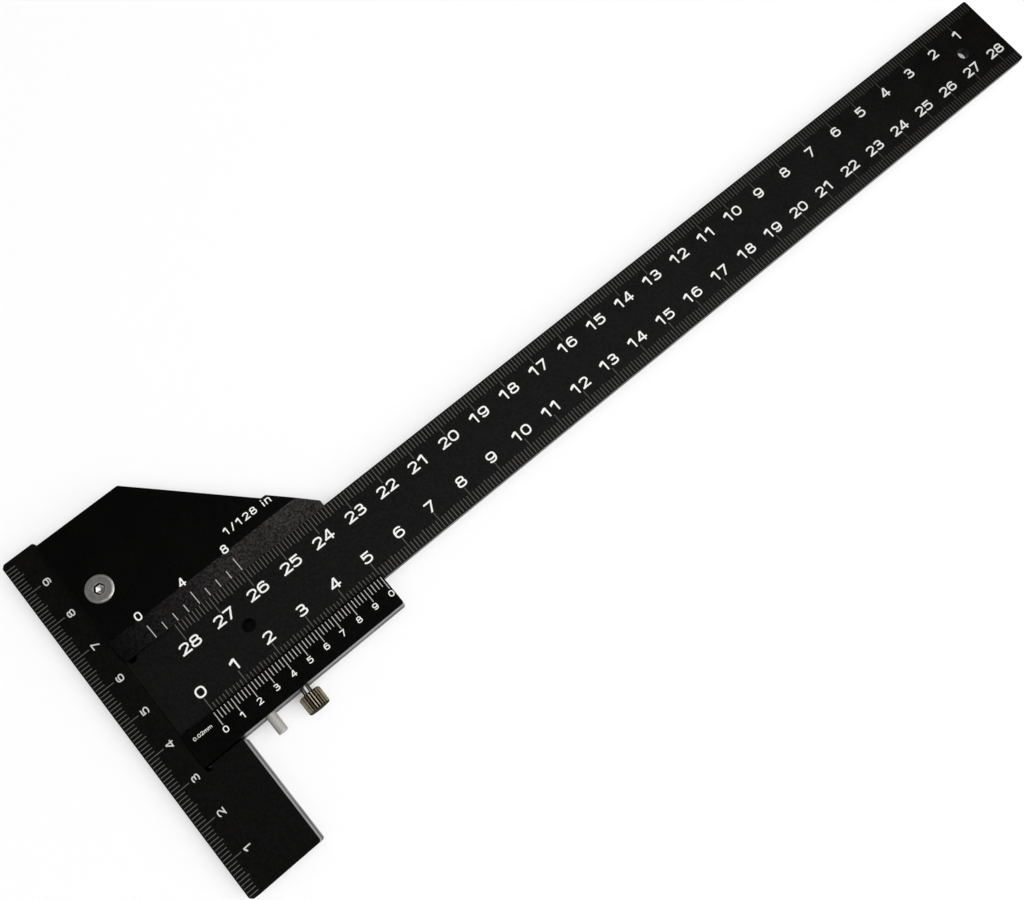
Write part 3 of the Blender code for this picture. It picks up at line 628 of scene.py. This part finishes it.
class TSQUARE_OT_anodise(bpy.types.Operator):
    """Gives the milled plates of the head, the blade and the slider their blasted black finish"""

    bl_idname = "tsquare.anodise"
    bl_label = "Anodise the plates"

    # Painted shade: the blade's sheen dulls between these two X, to the share given last.
    BLADE_FADE = (0.07, 0.15, 0.25)

    def execute(self, context):
        settings = context.scene.tsquare_finish
        black, dark = settings.black, settings.wing_black
        upper, lower = settings.upper_sheen, settings.lower_sheen
        edge, fade = settings.blade_sheen, self.BLADE_FADE
        chosen = {
            "head_bar": anodised("bar black", black, settings, 0.05, upper, seam=HEAD_LOW.z),
            "head_sole": anodised("sole black", black, settings, 0.06, lower),
            "blade": anodised("blade black", black, settings, 0.09, edge, fade=fade),
            "slider_base": anodised("base black", dark, settings, 0.05, lower),
            "vernier_strip": anodised("strip black", dark, settings, 0.03, upper, seam=STRIP_LOW.z),
            "wing_plate": anodised("wing black", dark, settings, 0.035, upper, seam=WING_LOW.z, slope=True),
        }
        for name, material in chosen.items():
            give(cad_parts[name], material)
        return {"FINISHED"}


class TSQUARE_OT_blade_scales(bpy.types.Operator):
    """Prints the blade's two centimetre scales, one counted from the head and one from the free end"""

    bl_idname = "tsquare.blade_scales"
    bl_label = "Print the blade's scales"

    BOTTOM_LINE = 0.0003        # start of the lower lines, from the blade's lower edge
    TOP_LINE = 0.0004           # start of the upper lines, from the upper edge
    SHORT, HALF, LONG = 0.0027, 0.0030, 0.0047
    NUMERALS = 0.0067           # centre line of either row of numerals, from its edge
    LAST_LOWER = 285            # millimetres
    FIRST_UPPER, LAST_UPPER = 1, 280
    WIDE, GAP = 0.94, 0.13
    HIGHEST = 28
    BESIDE_NUMERAL = -0.0003    # lower lines, from the middle of their numerals
    WORN = 0.26                 # painted shade: share of the lines' tone left at the free end
    NUMERALS_WORN = 0.72        # the same for the numerals, from the blade's middle on

    def execute(self, context):
        settings = context.scene.tsquare_scales
        half = settings.line_width / 2
        zero = HEAD_LOW.x + settings.zero_from_head
        end = BLADE_HIGH.x - settings.zero_from_end
        low, high = BLADE_LOW.y + self.BOTTOM_LINE, BLADE_HIGH.y - self.TOP_LINE
        surface = level_at(BLADE_HIGH.z)
        lower, upper = np.arange(self.LAST_LOWER + 1), np.arange(self.FIRST_UPPER, self.LAST_UPPER + 1)
        lines = Print(settings, surface)
        lower_x, upper_x = zero + self.BESIDE_NUMERAL + lower * MM, end - upper * MM
        lower_x = lower_x[lower_x < BLADE_HIGH.x - 2 * half]
        lengths = self.SHORT, self.HALF, self.LONG
        lines.lines(lower_x - half, lower_x + half, low, low + line_lengths(lower[:len(lower_x)], *lengths))
        lines.lines(upper_x - half, upper_x + half, high - line_lengths(upper, *lengths), high)
        # Painted shade: the lines and numerals darken towards the blade's free end.
        shading_and_wear = (zero, BLADE_HIGH.x, self.WORN)
        lines.finish("blade_lines", ink("blade ink", settings.blade_ink, shading_and_wear), "rule")
        signs = Print(settings, surface)
        counted = [(n, zero + n * CM, BLADE_LOW.y + self.NUMERALS) for n in range(self.HIGHEST + 1)]
        counted += [(n, end - n * CM, BLADE_HIGH.y - self.NUMERALS) for n in range(1, self.HIGHEST + 1)]
        for number, x, y in counted:
            signs.text(str(number), (x, y), settings.blade_numeral, self.WIDE, self.GAP)
        shading_and_wear = (0.0, BLADE_HIGH.x, self.NUMERALS_WORN)
        signs.finish("blade_numerals", ink("blade numeral ink", settings.ink, shading_and_wear), "rule")
        return {"FINISHED"}


class TSQUARE_OT_head_scale(bpy.types.Operator):
    """Prints the head's centimetre scale along its outer edge"""

    bl_idname = "tsquare.head_scale"
    bl_label = "Print the head's scale"

    LINE_START = 0.0003         # from the head's outer edge
    SHORT, HALF, LONG = 0.0025, 0.0030, 0.0044
    NUMERALS = 0.0064           # centre line of the numerals, from the outer edge
    BELOW_MARK = 0.0001
    LAST_LINE = 98
    WIDE, GAP = 0.95, 0.2

    def execute(self, context):
        settings = context.scene.tsquare_scales
        half = settings.line_width / 2
        marks = np.arange(1, self.LAST_LINE + 1)
        spots = HEAD_LOW.y + marks * MM
        reach = line_lengths(marks, self.SHORT, self.HALF, self.LONG)
        start = HEAD_LOW.x + self.LINE_START
        lines = Print(settings, level_at(HEAD_HIGH.z))
        lines.lines(start, start + reach, spots - half, spots + half)
        lines.finish("head_lines", ink("head ink", settings.head_ink), "rule")
        signs = Print(settings, level_at(HEAD_HIGH.z))
        for number in range(1, 10):
            spot = (HEAD_LOW.x + self.NUMERALS, HEAD_LOW.y + number * CM - self.BELOW_MARK)
            signs.text(str(number), spot, settings.head_numeral, self.WIDE, self.GAP, up=(-1, 0))
        signs.finish("head_numerals", ink("head numeral ink", settings.head_white), "rule")
        return {"FINISHED"}


class TSQUARE_OT_short_vernier(bpy.types.Operator):
    """Prints the short vernier on the wing's slope, its numerals and its unit"""

    bl_idname = "tsquare.short_vernier"
    bl_label = "Print the short vernier"

    FIRST = 0.00918             # from the slider's left edge
    PITCH = 0.003149
    START = 0.00018             # from the slope's lower edge
    SHORT, LONG = 0.0021, 0.0035
    NUMERALS = 0.00075          # centre line of the numerals, above the ridge
    LEFT_OF_MARK = 0.00022
    WIDE, GAP = 0.78, 0.4
    UNIT_AT = (0.0433, 0.0040)  # centre of the unit, from the slider's left edge and above the ridge
    UNIT_HEIGHT = 0.0019
    UNIT_WIDE, UNIT_GAP = 0.86, 0.26

    def execute(self, context):
        settings = context.scene.tsquare_scales
        half = settings.vernier_line / 2
        marks = np.arange(9)
        spots = WING_LOW.x + self.FIRST + marks * self.PITCH
        low = WING_LOW.y + self.START
        lines = Print(settings, wing_surface)
        lines.lines(spots - half, spots + half, low, low + np.where(marks % 4 == 0, self.LONG, self.SHORT))
        lines.finish("short_vernier_lines", ink("short vernier ink", settings.vernier_ink), "slider")
        signs = Print(settings, wing_surface)
        for mark in (0, 4, 8):
            spot = (spots[mark] - self.LEFT_OF_MARK, WING_RIDGE + self.NUMERALS)
            signs.text(str(mark), spot, settings.wing_numeral, self.WIDE, self.GAP)
        unit = (WING_LOW.x + self.UNIT_AT[0], WING_RIDGE + self.UNIT_AT[1])
        signs.text("1/128 in", unit, self.UNIT_HEIGHT, self.UNIT_WIDE, self.UNIT_GAP)
        white = ink("wing numeral ink", settings.ink)
        signs.finish("short_vernier_numerals", white, "slider", crease=WING_RIDGE)
        return {"FINISHED"}


class TSQUARE_OT_long_vernier(bpy.types.Operator):
    """Prints the long vernier on the strip, its numerals and its unit"""

    bl_idname = "tsquare.long_vernier"
    bl_label = "Print the long vernier"

    FIRST = 0.00911             # from the slider's left edge
    PITCH = 0.000995
    COUNT = 51
    START = 0.00055             # from the strip's upper edge
    SHORT, LONG = 0.0023, 0.00375
    NUMERALS = 0.00545          # centre line of the numerals, below the strip's upper edge
    NUMERAL_FIRST = 0.00906
    NUMERAL_PITCH = 0.004942
    WIDE, GAP = 0.84, 0.15
    UNIT_AT = (0.00440, 0.00265)    # centre of the unit, from the left edge and below the upper edge
    UNIT_HEIGHT = 0.00088

    def execute(self, context):
        settings = context.scene.tsquare_scales
        half = settings.vernier_line / 2
        marks = np.arange(self.COUNT)
        spots = STRIP_LOW.x + self.FIRST + marks * self.PITCH
        top = STRIP_HIGH.y - self.START
        surface = level_at(STRIP_HIGH.z)
        lines = Print(settings, surface)
        lines.lines(spots - half, spots + half, top - np.where(marks % 5 == 0, self.LONG, self.SHORT), top)
        lines.finish("long_vernier_lines", ink("long vernier ink", settings.vernier_ink), "slider")
        signs = Print(settings, surface)
        for step in range(11):
            along = STRIP_LOW.x + self.NUMERAL_FIRST + step * self.NUMERAL_PITCH
            spot = (along, STRIP_HIGH.y - self.NUMERALS)
            signs.text(str(step % 10), spot, settings.strip_numeral, self.WIDE, self.GAP)
        unit = (STRIP_LOW.x + self.UNIT_AT[0], STRIP_HIGH.y - self.UNIT_AT[1])
        signs.text("0.02mm", unit, self.UNIT_HEIGHT, self.WIDE, self.GAP)
        signs.finish("long_vernier_numerals", ink("strip numeral ink", settings.ink), "slider")
        return {"FINISHED"}


def rings_of(radius, height):
    """Rings about the Z axis and the quads between them, from arrays of rows by sides.

    The point of row i and side j is (r cos a, r sin a, h) with a = 2 pi j / sides.
    """
    rows, sides = radius.shape
    angle = 2 * np.pi * np.arange(sides) / sides
    points = np.stack((radius * np.cos(angle), radius * np.sin(angle), height), axis=2)
    side, row = np.arange(sides), sides * np.arange(rows - 1)[:, None]
    after = (side + 1) % sides
    quads = np.stack((row + side, row + after, row + sides + after, row + sides + side), axis=2)
    return points.reshape(-1, 3), quads.reshape(-1, 4).tolist()


def fan(first, sides, pole):
    """Triangles from the ring that starts at the first point to a pole."""
    side = np.arange(sides)
    return np.stack((first + side, first + (side + 1) % sides, np.full(sides, pole)), axis=1)


def turned_piece(name, shape, place, material, body, node):
    """A turned surface with closed poles, from arrays of rows by sides: radius, height and paleness.

    The UV map holds the turn and the distance along the profile in millimetres, and the paleness attribute tells
    the full tone (1) from painted shade in hollows (0). The piece stands in for a node of the frame.
    """
    radius, height, wear = np.broadcast_arrays(*shape)
    rows, sides = radius.shape
    points, quads = rings_of(radius, height)
    count = len(points)
    under, over = fan(0, sides, count)[:, ::-1], fan(count - sides, sides, count + 1)
    points = np.concatenate((points, numbers((0, 0, height[0].mean()), (0, 0, height[-1].mean()))))
    profile = np.stack((radius.mean(1), height.mean(1)), axis=1)
    along = np.concatenate(((0,), np.cumsum(np.linalg.norm(np.diff(profile, axis=0), axis=1)))) / MM
    first_radius, last_radius = profile[[0, -1], 0] / MM
    side, row = np.arange(sides)[:, None], np.arange(rows - 1)[:, None, None]
    corners = (
        (side + numbers(0, 1, 1, 0), along[row + (0, 0, 1, 1)]),
        (side + numbers(0.5, 1, 0), numbers(-first_radius, 0, 0)),
        (side + numbers(0, 1, 0.5), along[-1] + numbers(0, 0, last_radius)),
    )
    spots = [np.stack(np.broadcast_arrays(turn / sides, run), axis=-1).ravel() for turn, run in corners]
    mesh = mesh_of(name, points, quads + under.tolist() + over.tolist())
    mesh.uv_layers.new(name="turned").data.foreach_set("uv", np.concatenate(spots))
    shading_and_wear = mesh.attributes.new("wear", "FLOAT", "POINT")
    shading_and_wear.data.foreach_set("value", np.concatenate((wear.ravel(), (wear[0].mean(), wear[-1].mean()))))
    mesh.transform(place)
    mesh.shade_smooth()
    mesh.set_sharp_from_angle(angle=SHARP_ANGLE)
    piece = settled(name, mesh, material, body)
    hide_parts(node)


def hexagon(across_flats, sides):
    """Radius of a hexagon at each angle: half the flats over the cosine of the angle off the flat's middle."""
    angle = 2 * np.pi * np.arange(sides) / sides
    return across_flats / 2 / np.cos((angle + 1e-9) % (np.pi / 3) - np.pi / 6)


def rounded(start, corner, end, count=5):
    """Points of a small round: the quadratic curve from start to end that leans on the corner."""
    start, corner, end = numbers(*start), numbers(*corner), numbers(*end)
    step = np.linspace(0, 1, count)[:, None]
    return (1 - step) ** 2 * start + 2 * step * (1 - step) * corner + step**2 * end


def stack_rows(rows, sides):
    """A turned shape from rows of radius, height and paleness, each a number or one number for every side."""
    columns = zip(*rows)
    return tuple(np.array([np.broadcast_to(part, sides) for part in column], float) for column in columns)


def threaded(radius, depth, pitch, heights, start, end, sides):
    """Radius of a helical thread: a triangle wave of height / pitch - turn, which fades out at its ends."""
    angle = np.arange(sides) / sides
    wave = np.abs(2 * ((heights[:, None] / pitch - angle) % 1) - 1)
    fade = np.clip((heights - start) / pitch, 0, 1) * np.clip((end - heights) / pitch, 0, 1)
    return radius - depth * wave * fade[:, None]


def screw_shape(head, shank, socket, deep, whole, rim, pitch, sides):
    """A countersunk socket screw, from the middle of the socket's floor round the head to the tip.

    Height 0 is the head's face and grows towards the tip. The socket has a hexagon, a lead-in and a drilled
    cone, which are shares of its width across the flats.
    """
    flare = head - shank
    flats = hexagon(socket, sides)
    lead = socket / 2 / math.cos(math.pi / 6) + 0.03 * socket
    shoulder = 0.82 * head
    # Paleness per row: the socket's floor and the lead-in ring are paler than the face, a painted highlight and
    # a painted glint; the hexagon's walls are dark, painted shade; the rounded rim is paler, a painted
    # highlight.
    rows = [
        (flats * 0.08, deep + 0.22 * socket, 1.0), (flats * 0.80, deep + 0.02 * socket, 1.0),
        (flats * 0.84, deep, 0.0), (flats, deep, 0.0), (flats, 0.12 * socket, 0.0),
        (lead, 0.0, 0.8), (lead + 0.03 * head, 0.0, 0.35), (shoulder, 0.0, 0.35),
    ]
    edge = rounded((shoulder + 0.02 * head, 0.0), (0.94 * head, 0.0), (head, rim))
    rows.extend((spot, height, 0.55) for spot, height in edge.tolist())
    heights = np.linspace(rim + flare + pitch / 4, whole - rim, max(8, int(whole / pitch * 7)))
    thread = threaded(shank, pitch * 0.45, pitch, heights, rim + flare, whole, sides)
    rows.append((shank, rim + flare, 0.7))
    rows.extend((ring, height, 0.8) for ring, height in zip(thread, heights))
    rows.append((shank - rim, whole, 0.8))
    return stack_rows(rows, sides)


class TSQUARE_OT_screws(bpy.types.Operator):
    """Turns the countersunk socket screws: twelve small ones from below and the bright one in the wing"""

    bl_idname = "tsquare.screws"
    bl_label = "Turn the screws"

    SMALL_SHANK = 0.00125
    SMALL_SOCKET_DEPTH = 0.0008
    WING_SHANK = 0.0020
    WING_SOCKET_DEPTH = 0.0009
    RIM = 0.00015
    WING_PITCH = 0.0007
    SMALL_SIDES, WING_SIDES = 36, 96

    def execute(self, context):
        fittings, finish = context.scene.tsquare_fittings, context.scene.tsquare_finish
        steel = turned("screw steel", finish.steel, roughness=0.3, marks=26)
        # The wing screw's hollows are nearly black: painted shade in its socket.
        wing_steel = turned("wing screw steel", finish.steel, roughness=0.34, marks=5, dark=0.02)
        for name in SCREW_NODES:
            low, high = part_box(name)
            shape = screw_shape(
                (high.x - low.x) / 2, self.SMALL_SHANK, fittings.screw_socket, self.SMALL_SOCKET_DEPTH,
                high.z - low.z, self.RIM, fittings.screw_pitch, self.SMALL_SIDES,
            )
            place = Matrix.Translation(((low.x + high.x) / 2, (low.y + high.y) / 2, low.z))
            body = "rule" if name.startswith("sole") else "slider"
            turned_piece(name + "_turned", shape, place, steel, body, name)
        low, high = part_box("wing_screw")
        shape = screw_shape(
            (high.x - low.x) / 2, self.WING_SHANK, fittings.wing_socket, self.WING_SOCKET_DEPTH,
            high.z - low.z, self.RIM, self.WING_PITCH, self.WING_SIDES,
        )
        place = Matrix.Translation(((low.x + high.x) / 2, (low.y + high.y) / 2, high.z))
        place = place @ Matrix.Rotation(math.pi, 4, "X")
        turned_piece("wing_screw_turned", shape, place, wing_steel, "slider", "wing_screw")
        return {"FINISHED"}


def along_y(spot):
    """Place a turned shape so that its axis runs along +Y from the given point."""
    return Matrix.Translation(spot) @ Matrix.Rotation(-math.pi / 2, 4, "X")


class TSQUARE_OT_stop_pin(bpy.types.Operator):
    """Turns the satin stop pin, with rounded ends"""

    bl_idname = "tsquare.stop_pin"
    bl_label = "Turn the stop pin"

    END_ROUND = 0.0003
    SIDES = 64

    def execute(self, context):
        radius = (PIN_HIGH.x - PIN_LOW.x) / 2
        whole, bend = PIN_HIGH.y - PIN_LOW.y, self.END_ROUND
        lower = rounded((radius - bend, 0), (radius, 0), (radius, bend))
        upper = rounded((radius, whole - bend), (radius, whole), (radius - bend, whole))
        profile = np.concatenate((numbers((radius / 2, 0)), lower, upper, numbers((radius / 2, whole))))
        shape = stack_rows([(spot, height, 1.0) for spot, height in profile.tolist()], self.SIDES)
        spot = ((PIN_LOW.x + PIN_HIGH.x) / 2, PIN_LOW.y, (PIN_LOW.z + PIN_HIGH.z) / 2)
        tone = context.scene.tsquare_finish.pin
        satin = turned("pin satin", tone, roughness=0.5, marks=9, metallic=0.3, tarnish=0.12)
        turned_piece("stop_pin_turned", shape, along_y(spot), satin, "slider", "stop_pin")
        return {"FINISHED"}


class TSQUARE_OT_thumbscrew(bpy.types.Operator):
    """Turns the knurled knob and its stud, and finishes the slug"""

    bl_idname = "tsquare.thumbscrew"
    bl_label = "Turn the clamping screw"

    POINTS_PER_FLUTE = 12
    CREST = 0.5                 # part of the flutes' cosine wave that is cut flat
    STUD_SIDES = 48
    NECK = 0.0012               # plain length of the stud inside the strip, before the thread
    TIP = 0.00015
    THREAD_ROWS = 84
    CHAMFER_WEAR = 0.2          # painted shade: how pale the knob's chamfers stay
    FACE_WEAR = 0.4             # how pale the knob's outer face is
    WEAR_FALL = 1.4             # how fast the knob darkens towards the bottom of a flute
    BORE_LIP = 0.0001

    def knob_shape(self, fittings, radius, whole):
        """The fluted round cut by two chamfer cones: the radius is the lesser of the wave and the cone."""
        sides = fittings.knob_flutes * self.POINTS_PER_FLUTE
        angle = 2 * np.pi * np.arange(sides) / sides
        below = np.maximum(0.0, self.CREST - np.cos(fittings.knob_flutes * angle)) / (self.CREST + 1)
        wave = radius - fittings.flute_depth * below
        chamfer = fittings.knob_chamfer
        bore = (STUD_HIGH.x - STUD_LOW.x) / 2 + fittings.bore_clearance
        ramp = np.linspace(0, 1, 7)
        rows = [(radius * 0.2, 0.0, self.FACE_WEAR), (radius * 0.55, 0.0, self.FACE_WEAR)]
        for height in np.concatenate((ramp * chamfer, whole - ramp[::-1] * chamfer)).tolist():
            from_end = min(height, whole - height)
            cone = radius - chamfer + from_end
            # Painted shade: the chamfers stay dark. Every flute also darkens towards its bottom.
            shading_and_wear = self.CHAMFER_WEAR if from_end < 0.9 * chamfer else 1.0
            rows.append((np.minimum(wave, cone), height, shading_and_wear * (1 - below) ** self.WEAR_FALL))
        # Painted shade: the bore's lip and wall are dark.
        seat, lip = whole - fittings.knob_seat, self.BORE_LIP
        rows.extend(((bore + lip, whole, 0.3), (bore, whole - lip, 0.0)))
        rows.extend(((bore, seat, 0.0), (bore * 0.4, seat, 0.0)))
        return stack_rows(rows, sides)

    def stud_shape(self, fittings, radius, whole):
        """The stud: a plain neck, then a thread that is cut inward, up to a chamfered tip."""
        plain = STRIP_LOW.y - STUD_LOW.y + self.NECK
        heights = np.linspace(plain, whole - self.TIP, self.THREAD_ROWS)
        pitch = fittings.stud_pitch
        thread = threaded(radius, pitch / 2, pitch, heights, plain, whole, self.STUD_SIDES)
        rows = [(radius - self.TIP, 0.0, 1.0), (radius, self.TIP, 1.0)]
        rows.extend((ring, height, 1.0) for ring, height in zip(thread, heights))
        rows.append((radius - self.TIP, whole, 1.0))
        return stack_rows(rows, self.STUD_SIDES)

    def execute(self, context):
        fittings, finish = context.scene.tsquare_fittings, context.scene.tsquare_finish
        x, z = (STUD_LOW.x + STUD_HIGH.x) / 2, (STUD_LOW.z + STUD_HIGH.z) / 2
        brass = turned("knob brass", finish.knob, roughness=0.3, marks=9, tarnish=0.4)
        shape = self.knob_shape(fittings, (KNOB_HIGH.x - KNOB_LOW.x) / 2, KNOB_HIGH.y - KNOB_LOW.y)
        place = along_y((x, KNOB_LOW.y, z))
        turned_piece("knob_knurled", shape, place, brass, "thumbscrew", "thumbscrew_knob")
        shape = self.stud_shape(fittings, (STUD_HIGH.x - STUD_LOW.x) / 2, STUD_HIGH.y - STUD_LOW.y)
        steel = turned("stud steel", finish.stud, roughness=0.11, marks=20, tarnish=0.1)
        place = along_y((x, STUD_LOW.y, z))
        turned_piece("stud_threaded", shape, place, steel, "thumbscrew", "thumbscrew_stud")
        slug = Graph("slug brass")
        grain = slug.noise(slug.place(), SLUG_GRAIN, 3.0)
        slug.feed(slug.mix(grain, scaled(finish.slug, 0.7), scaled(finish.slug, 1.0)), "Base Color")
        slug.feed(slug.spread(grain, 0.25, 0.45), "Roughness")
        slug.shader.inputs["Metallic"].default_value = 1.0
        slug.bump(grain, 0.2, FINE_RELIEF)
        give(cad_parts["clamp_slug"], slug.material)
        return {"FINISHED"}


def backdrop_surface(radius, curve, top, sides=96, bends=14):
    """A turned surface from the wall's top to the middle.

    The profile is a wall, a quarter round (r + c sin b, c - c cos b) at its foot and a flat floor.
    """
    bend = np.linspace(np.pi / 2, 0, bends)
    reach = np.concatenate(((radius + curve,), radius + curve * np.sin(bend), (radius / 3,)))
    level = np.concatenate(((top,), curve * (1 - np.cos(bend)), (0.0,)))
    points, quads = rings_of(*(np.repeat(row[:, None], sides, axis=1) for row in (reach, level)))
    middle = fan(len(points) - sides, sides, len(points))
    return np.concatenate((points, np.zeros((1, 3)))), quads + middle.tolist()


class TSQUARE_OT_stage(bpy.types.Operator):
    """Sets up the white floor, the lamps and the camera"""

    bl_idname = "tsquare.stage"
    bl_label = "Set the stage"

    CURVE = 0.5
    # Direction from the part, distance and size of the lamps
    KEY = ((0.35, -0.55, 0.76), 1.35, (1.2, 1.2))
    STRIP = ((0.08, 0.12, 0.99), 0.95, (0.9, 0.12))
    CLIP = (0.01, 20.0)
    SHADE_REACH = 0.006         # how far from the floor the part still shades it
    SHADE_SAMPLES = 3
    SENSOR = 36.0

    def backdrop(self, settings):
        """The white floor and wall. Camera, glossy and transmission rays see a part of it as plain white.

        That part is less where the object covers the floor, so that gaps and contacts stay dark.
        """
        mesh = mesh_of("floor", *backdrop_surface(settings.floor_radius, self.CURVE, settings.wall_height))
        mesh.shade_smooth()
        floor = shown("floor", mesh)
        graph = Graph("floor white")
        graph.shader.inputs["Base Color"].default_value = scaled(settings.floor, 1.0)
        graph.shader.inputs["Roughness"].default_value = 0.9
        graph.shader.inputs["Specular IOR Level"].default_value = 0.0
        rays = graph.add("LightPath").outputs
        seen = graph.math("MAXIMUM", rays["Is Camera Ray"], rays["Is Glossy Ray"])
        seen = graph.math("MAXIMUM", seen, rays["Is Transmission Ray"])
        glow = graph.add("Emission", {"Color": (1, 1, 1, 1), "Strength": 1.0}).outputs[0]
        reach = {"Distance": self.SHADE_REACH}
        open_sky = graph.add("AmbientOcclusion", reach, samples=self.SHADE_SAMPLES).outputs["AO"]
        factor = graph.product(seen, settings.floor_glow, open_sky)
        blend = graph.add("MixShader", {0: factor, 1: graph.shader.outputs[0], 2: glow}).outputs[0]
        graph.tree.links.new(blend, graph.tree.nodes["Material Output"].inputs["Surface"])
        give(floor, graph.material)

    def lamp(self, name, power, direction, distance, size):
        """A softbox that faces the part, with its first side along X."""
        data = bpy.data.lights.new(name, "AREA")
        data.shape = "RECTANGLE"
        data.size, data.size_y = size
        data.energy = power
        away = Vector(direction).normalized()
        along = (Vector((1, 0, 0)) - away * away.x).normalized()
        turn = Matrix((along, away.cross(along), away)).transposed().to_4x4()
        shown(name, data).matrix_world = Matrix.Translation(away * distance) @ turn

    def lamps(self, settings):
        """A large softbox over the right of the picture, a narrow one overhead and a dim room."""
        self.lamp("key softbox", settings.key_power, *self.KEY)
        self.lamp("strip softbox", settings.strip_power, *self.STRIP)
        world = bpy.data.worlds.new("room")
        world.use_nodes = True
        back = world.node_tree.nodes["Background"]
        back.inputs["Color"].default_value = (1, 1, 1, 1)
        back.inputs["Strength"].default_value = settings.sky
        bpy.context.scene.world = world

    def camera(self, settings):
        """The camera: its upright is the picture's, turned from +Y towards +X about the line of sight."""
        place, aim = Vector(settings.camera_place), Vector(settings.camera_aim)
        sight = (aim - place).normalized()
        level = Vector((0, 1, 0)) - sight * sight.y
        level.normalize()
        side = sight.cross(level)
        up = level * math.cos(settings.camera_turn) + side * math.sin(settings.camera_turn)
        right = sight.cross(up)
        data = bpy.data.cameras.new("camera")
        data.sensor_width = self.SENSOR
        data.lens = settings.lens
        wide, tall = PHOTO_SIZE
        data.shift_x = (wide / 2 - settings.view_centre[0]) / wide
        data.shift_y = (settings.view_centre[1] - tall / 2) / wide
        data.clip_start, data.clip_end = self.CLIP
        camera = shown("camera", data)
        camera.matrix_world = Matrix.Translation(place) @ Matrix((right, up, -sight)).transposed().to_4x4()
        bpy.context.scene.camera = camera

    def execute(self, context):
        settings = context.scene.tsquare_stage
        self.backdrop(settings)
        self.lamps(settings)
        self.camera(settings)
        context.scene.view_settings.view_transform = "Standard"
        return {"FINISHED"}


OPERATORS = (
    TSQUARE_OT_anodise, TSQUARE_OT_blade_scales, TSQUARE_OT_head_scale, TSQUARE_OT_short_vernier,
    TSQUARE_OT_long_vernier, TSQUARE_OT_screws, TSQUARE_OT_stop_pin, TSQUARE_OT_thumbscrew, TSQUARE_OT_stage,
)


class TSQUARE_PT_sidebar(bpy.types.Panel):
    """Lists the steps and their settings"""

    bl_idname = "TSQUARE_PT_sidebar"
    bl_label = "T-square"
    bl_space_type = "VIEW_3D"
    bl_region_type = "UI"
    bl_category = "T-square"

    def draw(self, context):
        for step in OPERATORS:
            self.layout.operator(step.bl_idname)
        for name in SETTINGS:
            group = getattr(context.scene, name)
            box = self.layout.box()
            for key in group.__annotations__:
                box.prop(group, key)


SETTINGS = {
    "tsquare_scales": TsquareScaleSettings,
    "tsquare_finish": TsquareFinishSettings,
    "tsquare_fittings": TsquareFittingSettings,
    "tsquare_stage": TsquareStageSettings,
}


def register():
    """Add the classes and the settings that the scene holds."""
    for name, group in SETTINGS.items():
        bpy.utils.register_class(group)
        setattr(bpy.types.Scene, name, PointerProperty(type=group))
    for kind in (*OPERATORS, TSQUARE_PT_sidebar):
        bpy.utils.register_class(kind)


def unregister():
    """Take them out again."""
    for kind in (TSQUARE_PT_sidebar, *reversed(OPERATORS)):
        bpy.utils.unregister_class(kind)
    for name, group in SETTINGS.items():
        delattr(bpy.types.Scene, name)
        bpy.utils.unregister_class(group)


def main():
    """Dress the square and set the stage."""
    register()
    bpy.ops.tsquare.anodise()
    bpy.ops.tsquare.blade_scales()
    bpy.ops.tsquare.head_scale()
    bpy.ops.tsquare.short_vernier()
    bpy.ops.tsquare.long_vernier()
    bpy.ops.tsquare.screws()
    bpy.ops.tsquare.stop_pin()
    bpy.ops.tsquare.thumbscrew()
    bpy.ops.tsquare.stage()


if __name__ == "__main__":
    main()
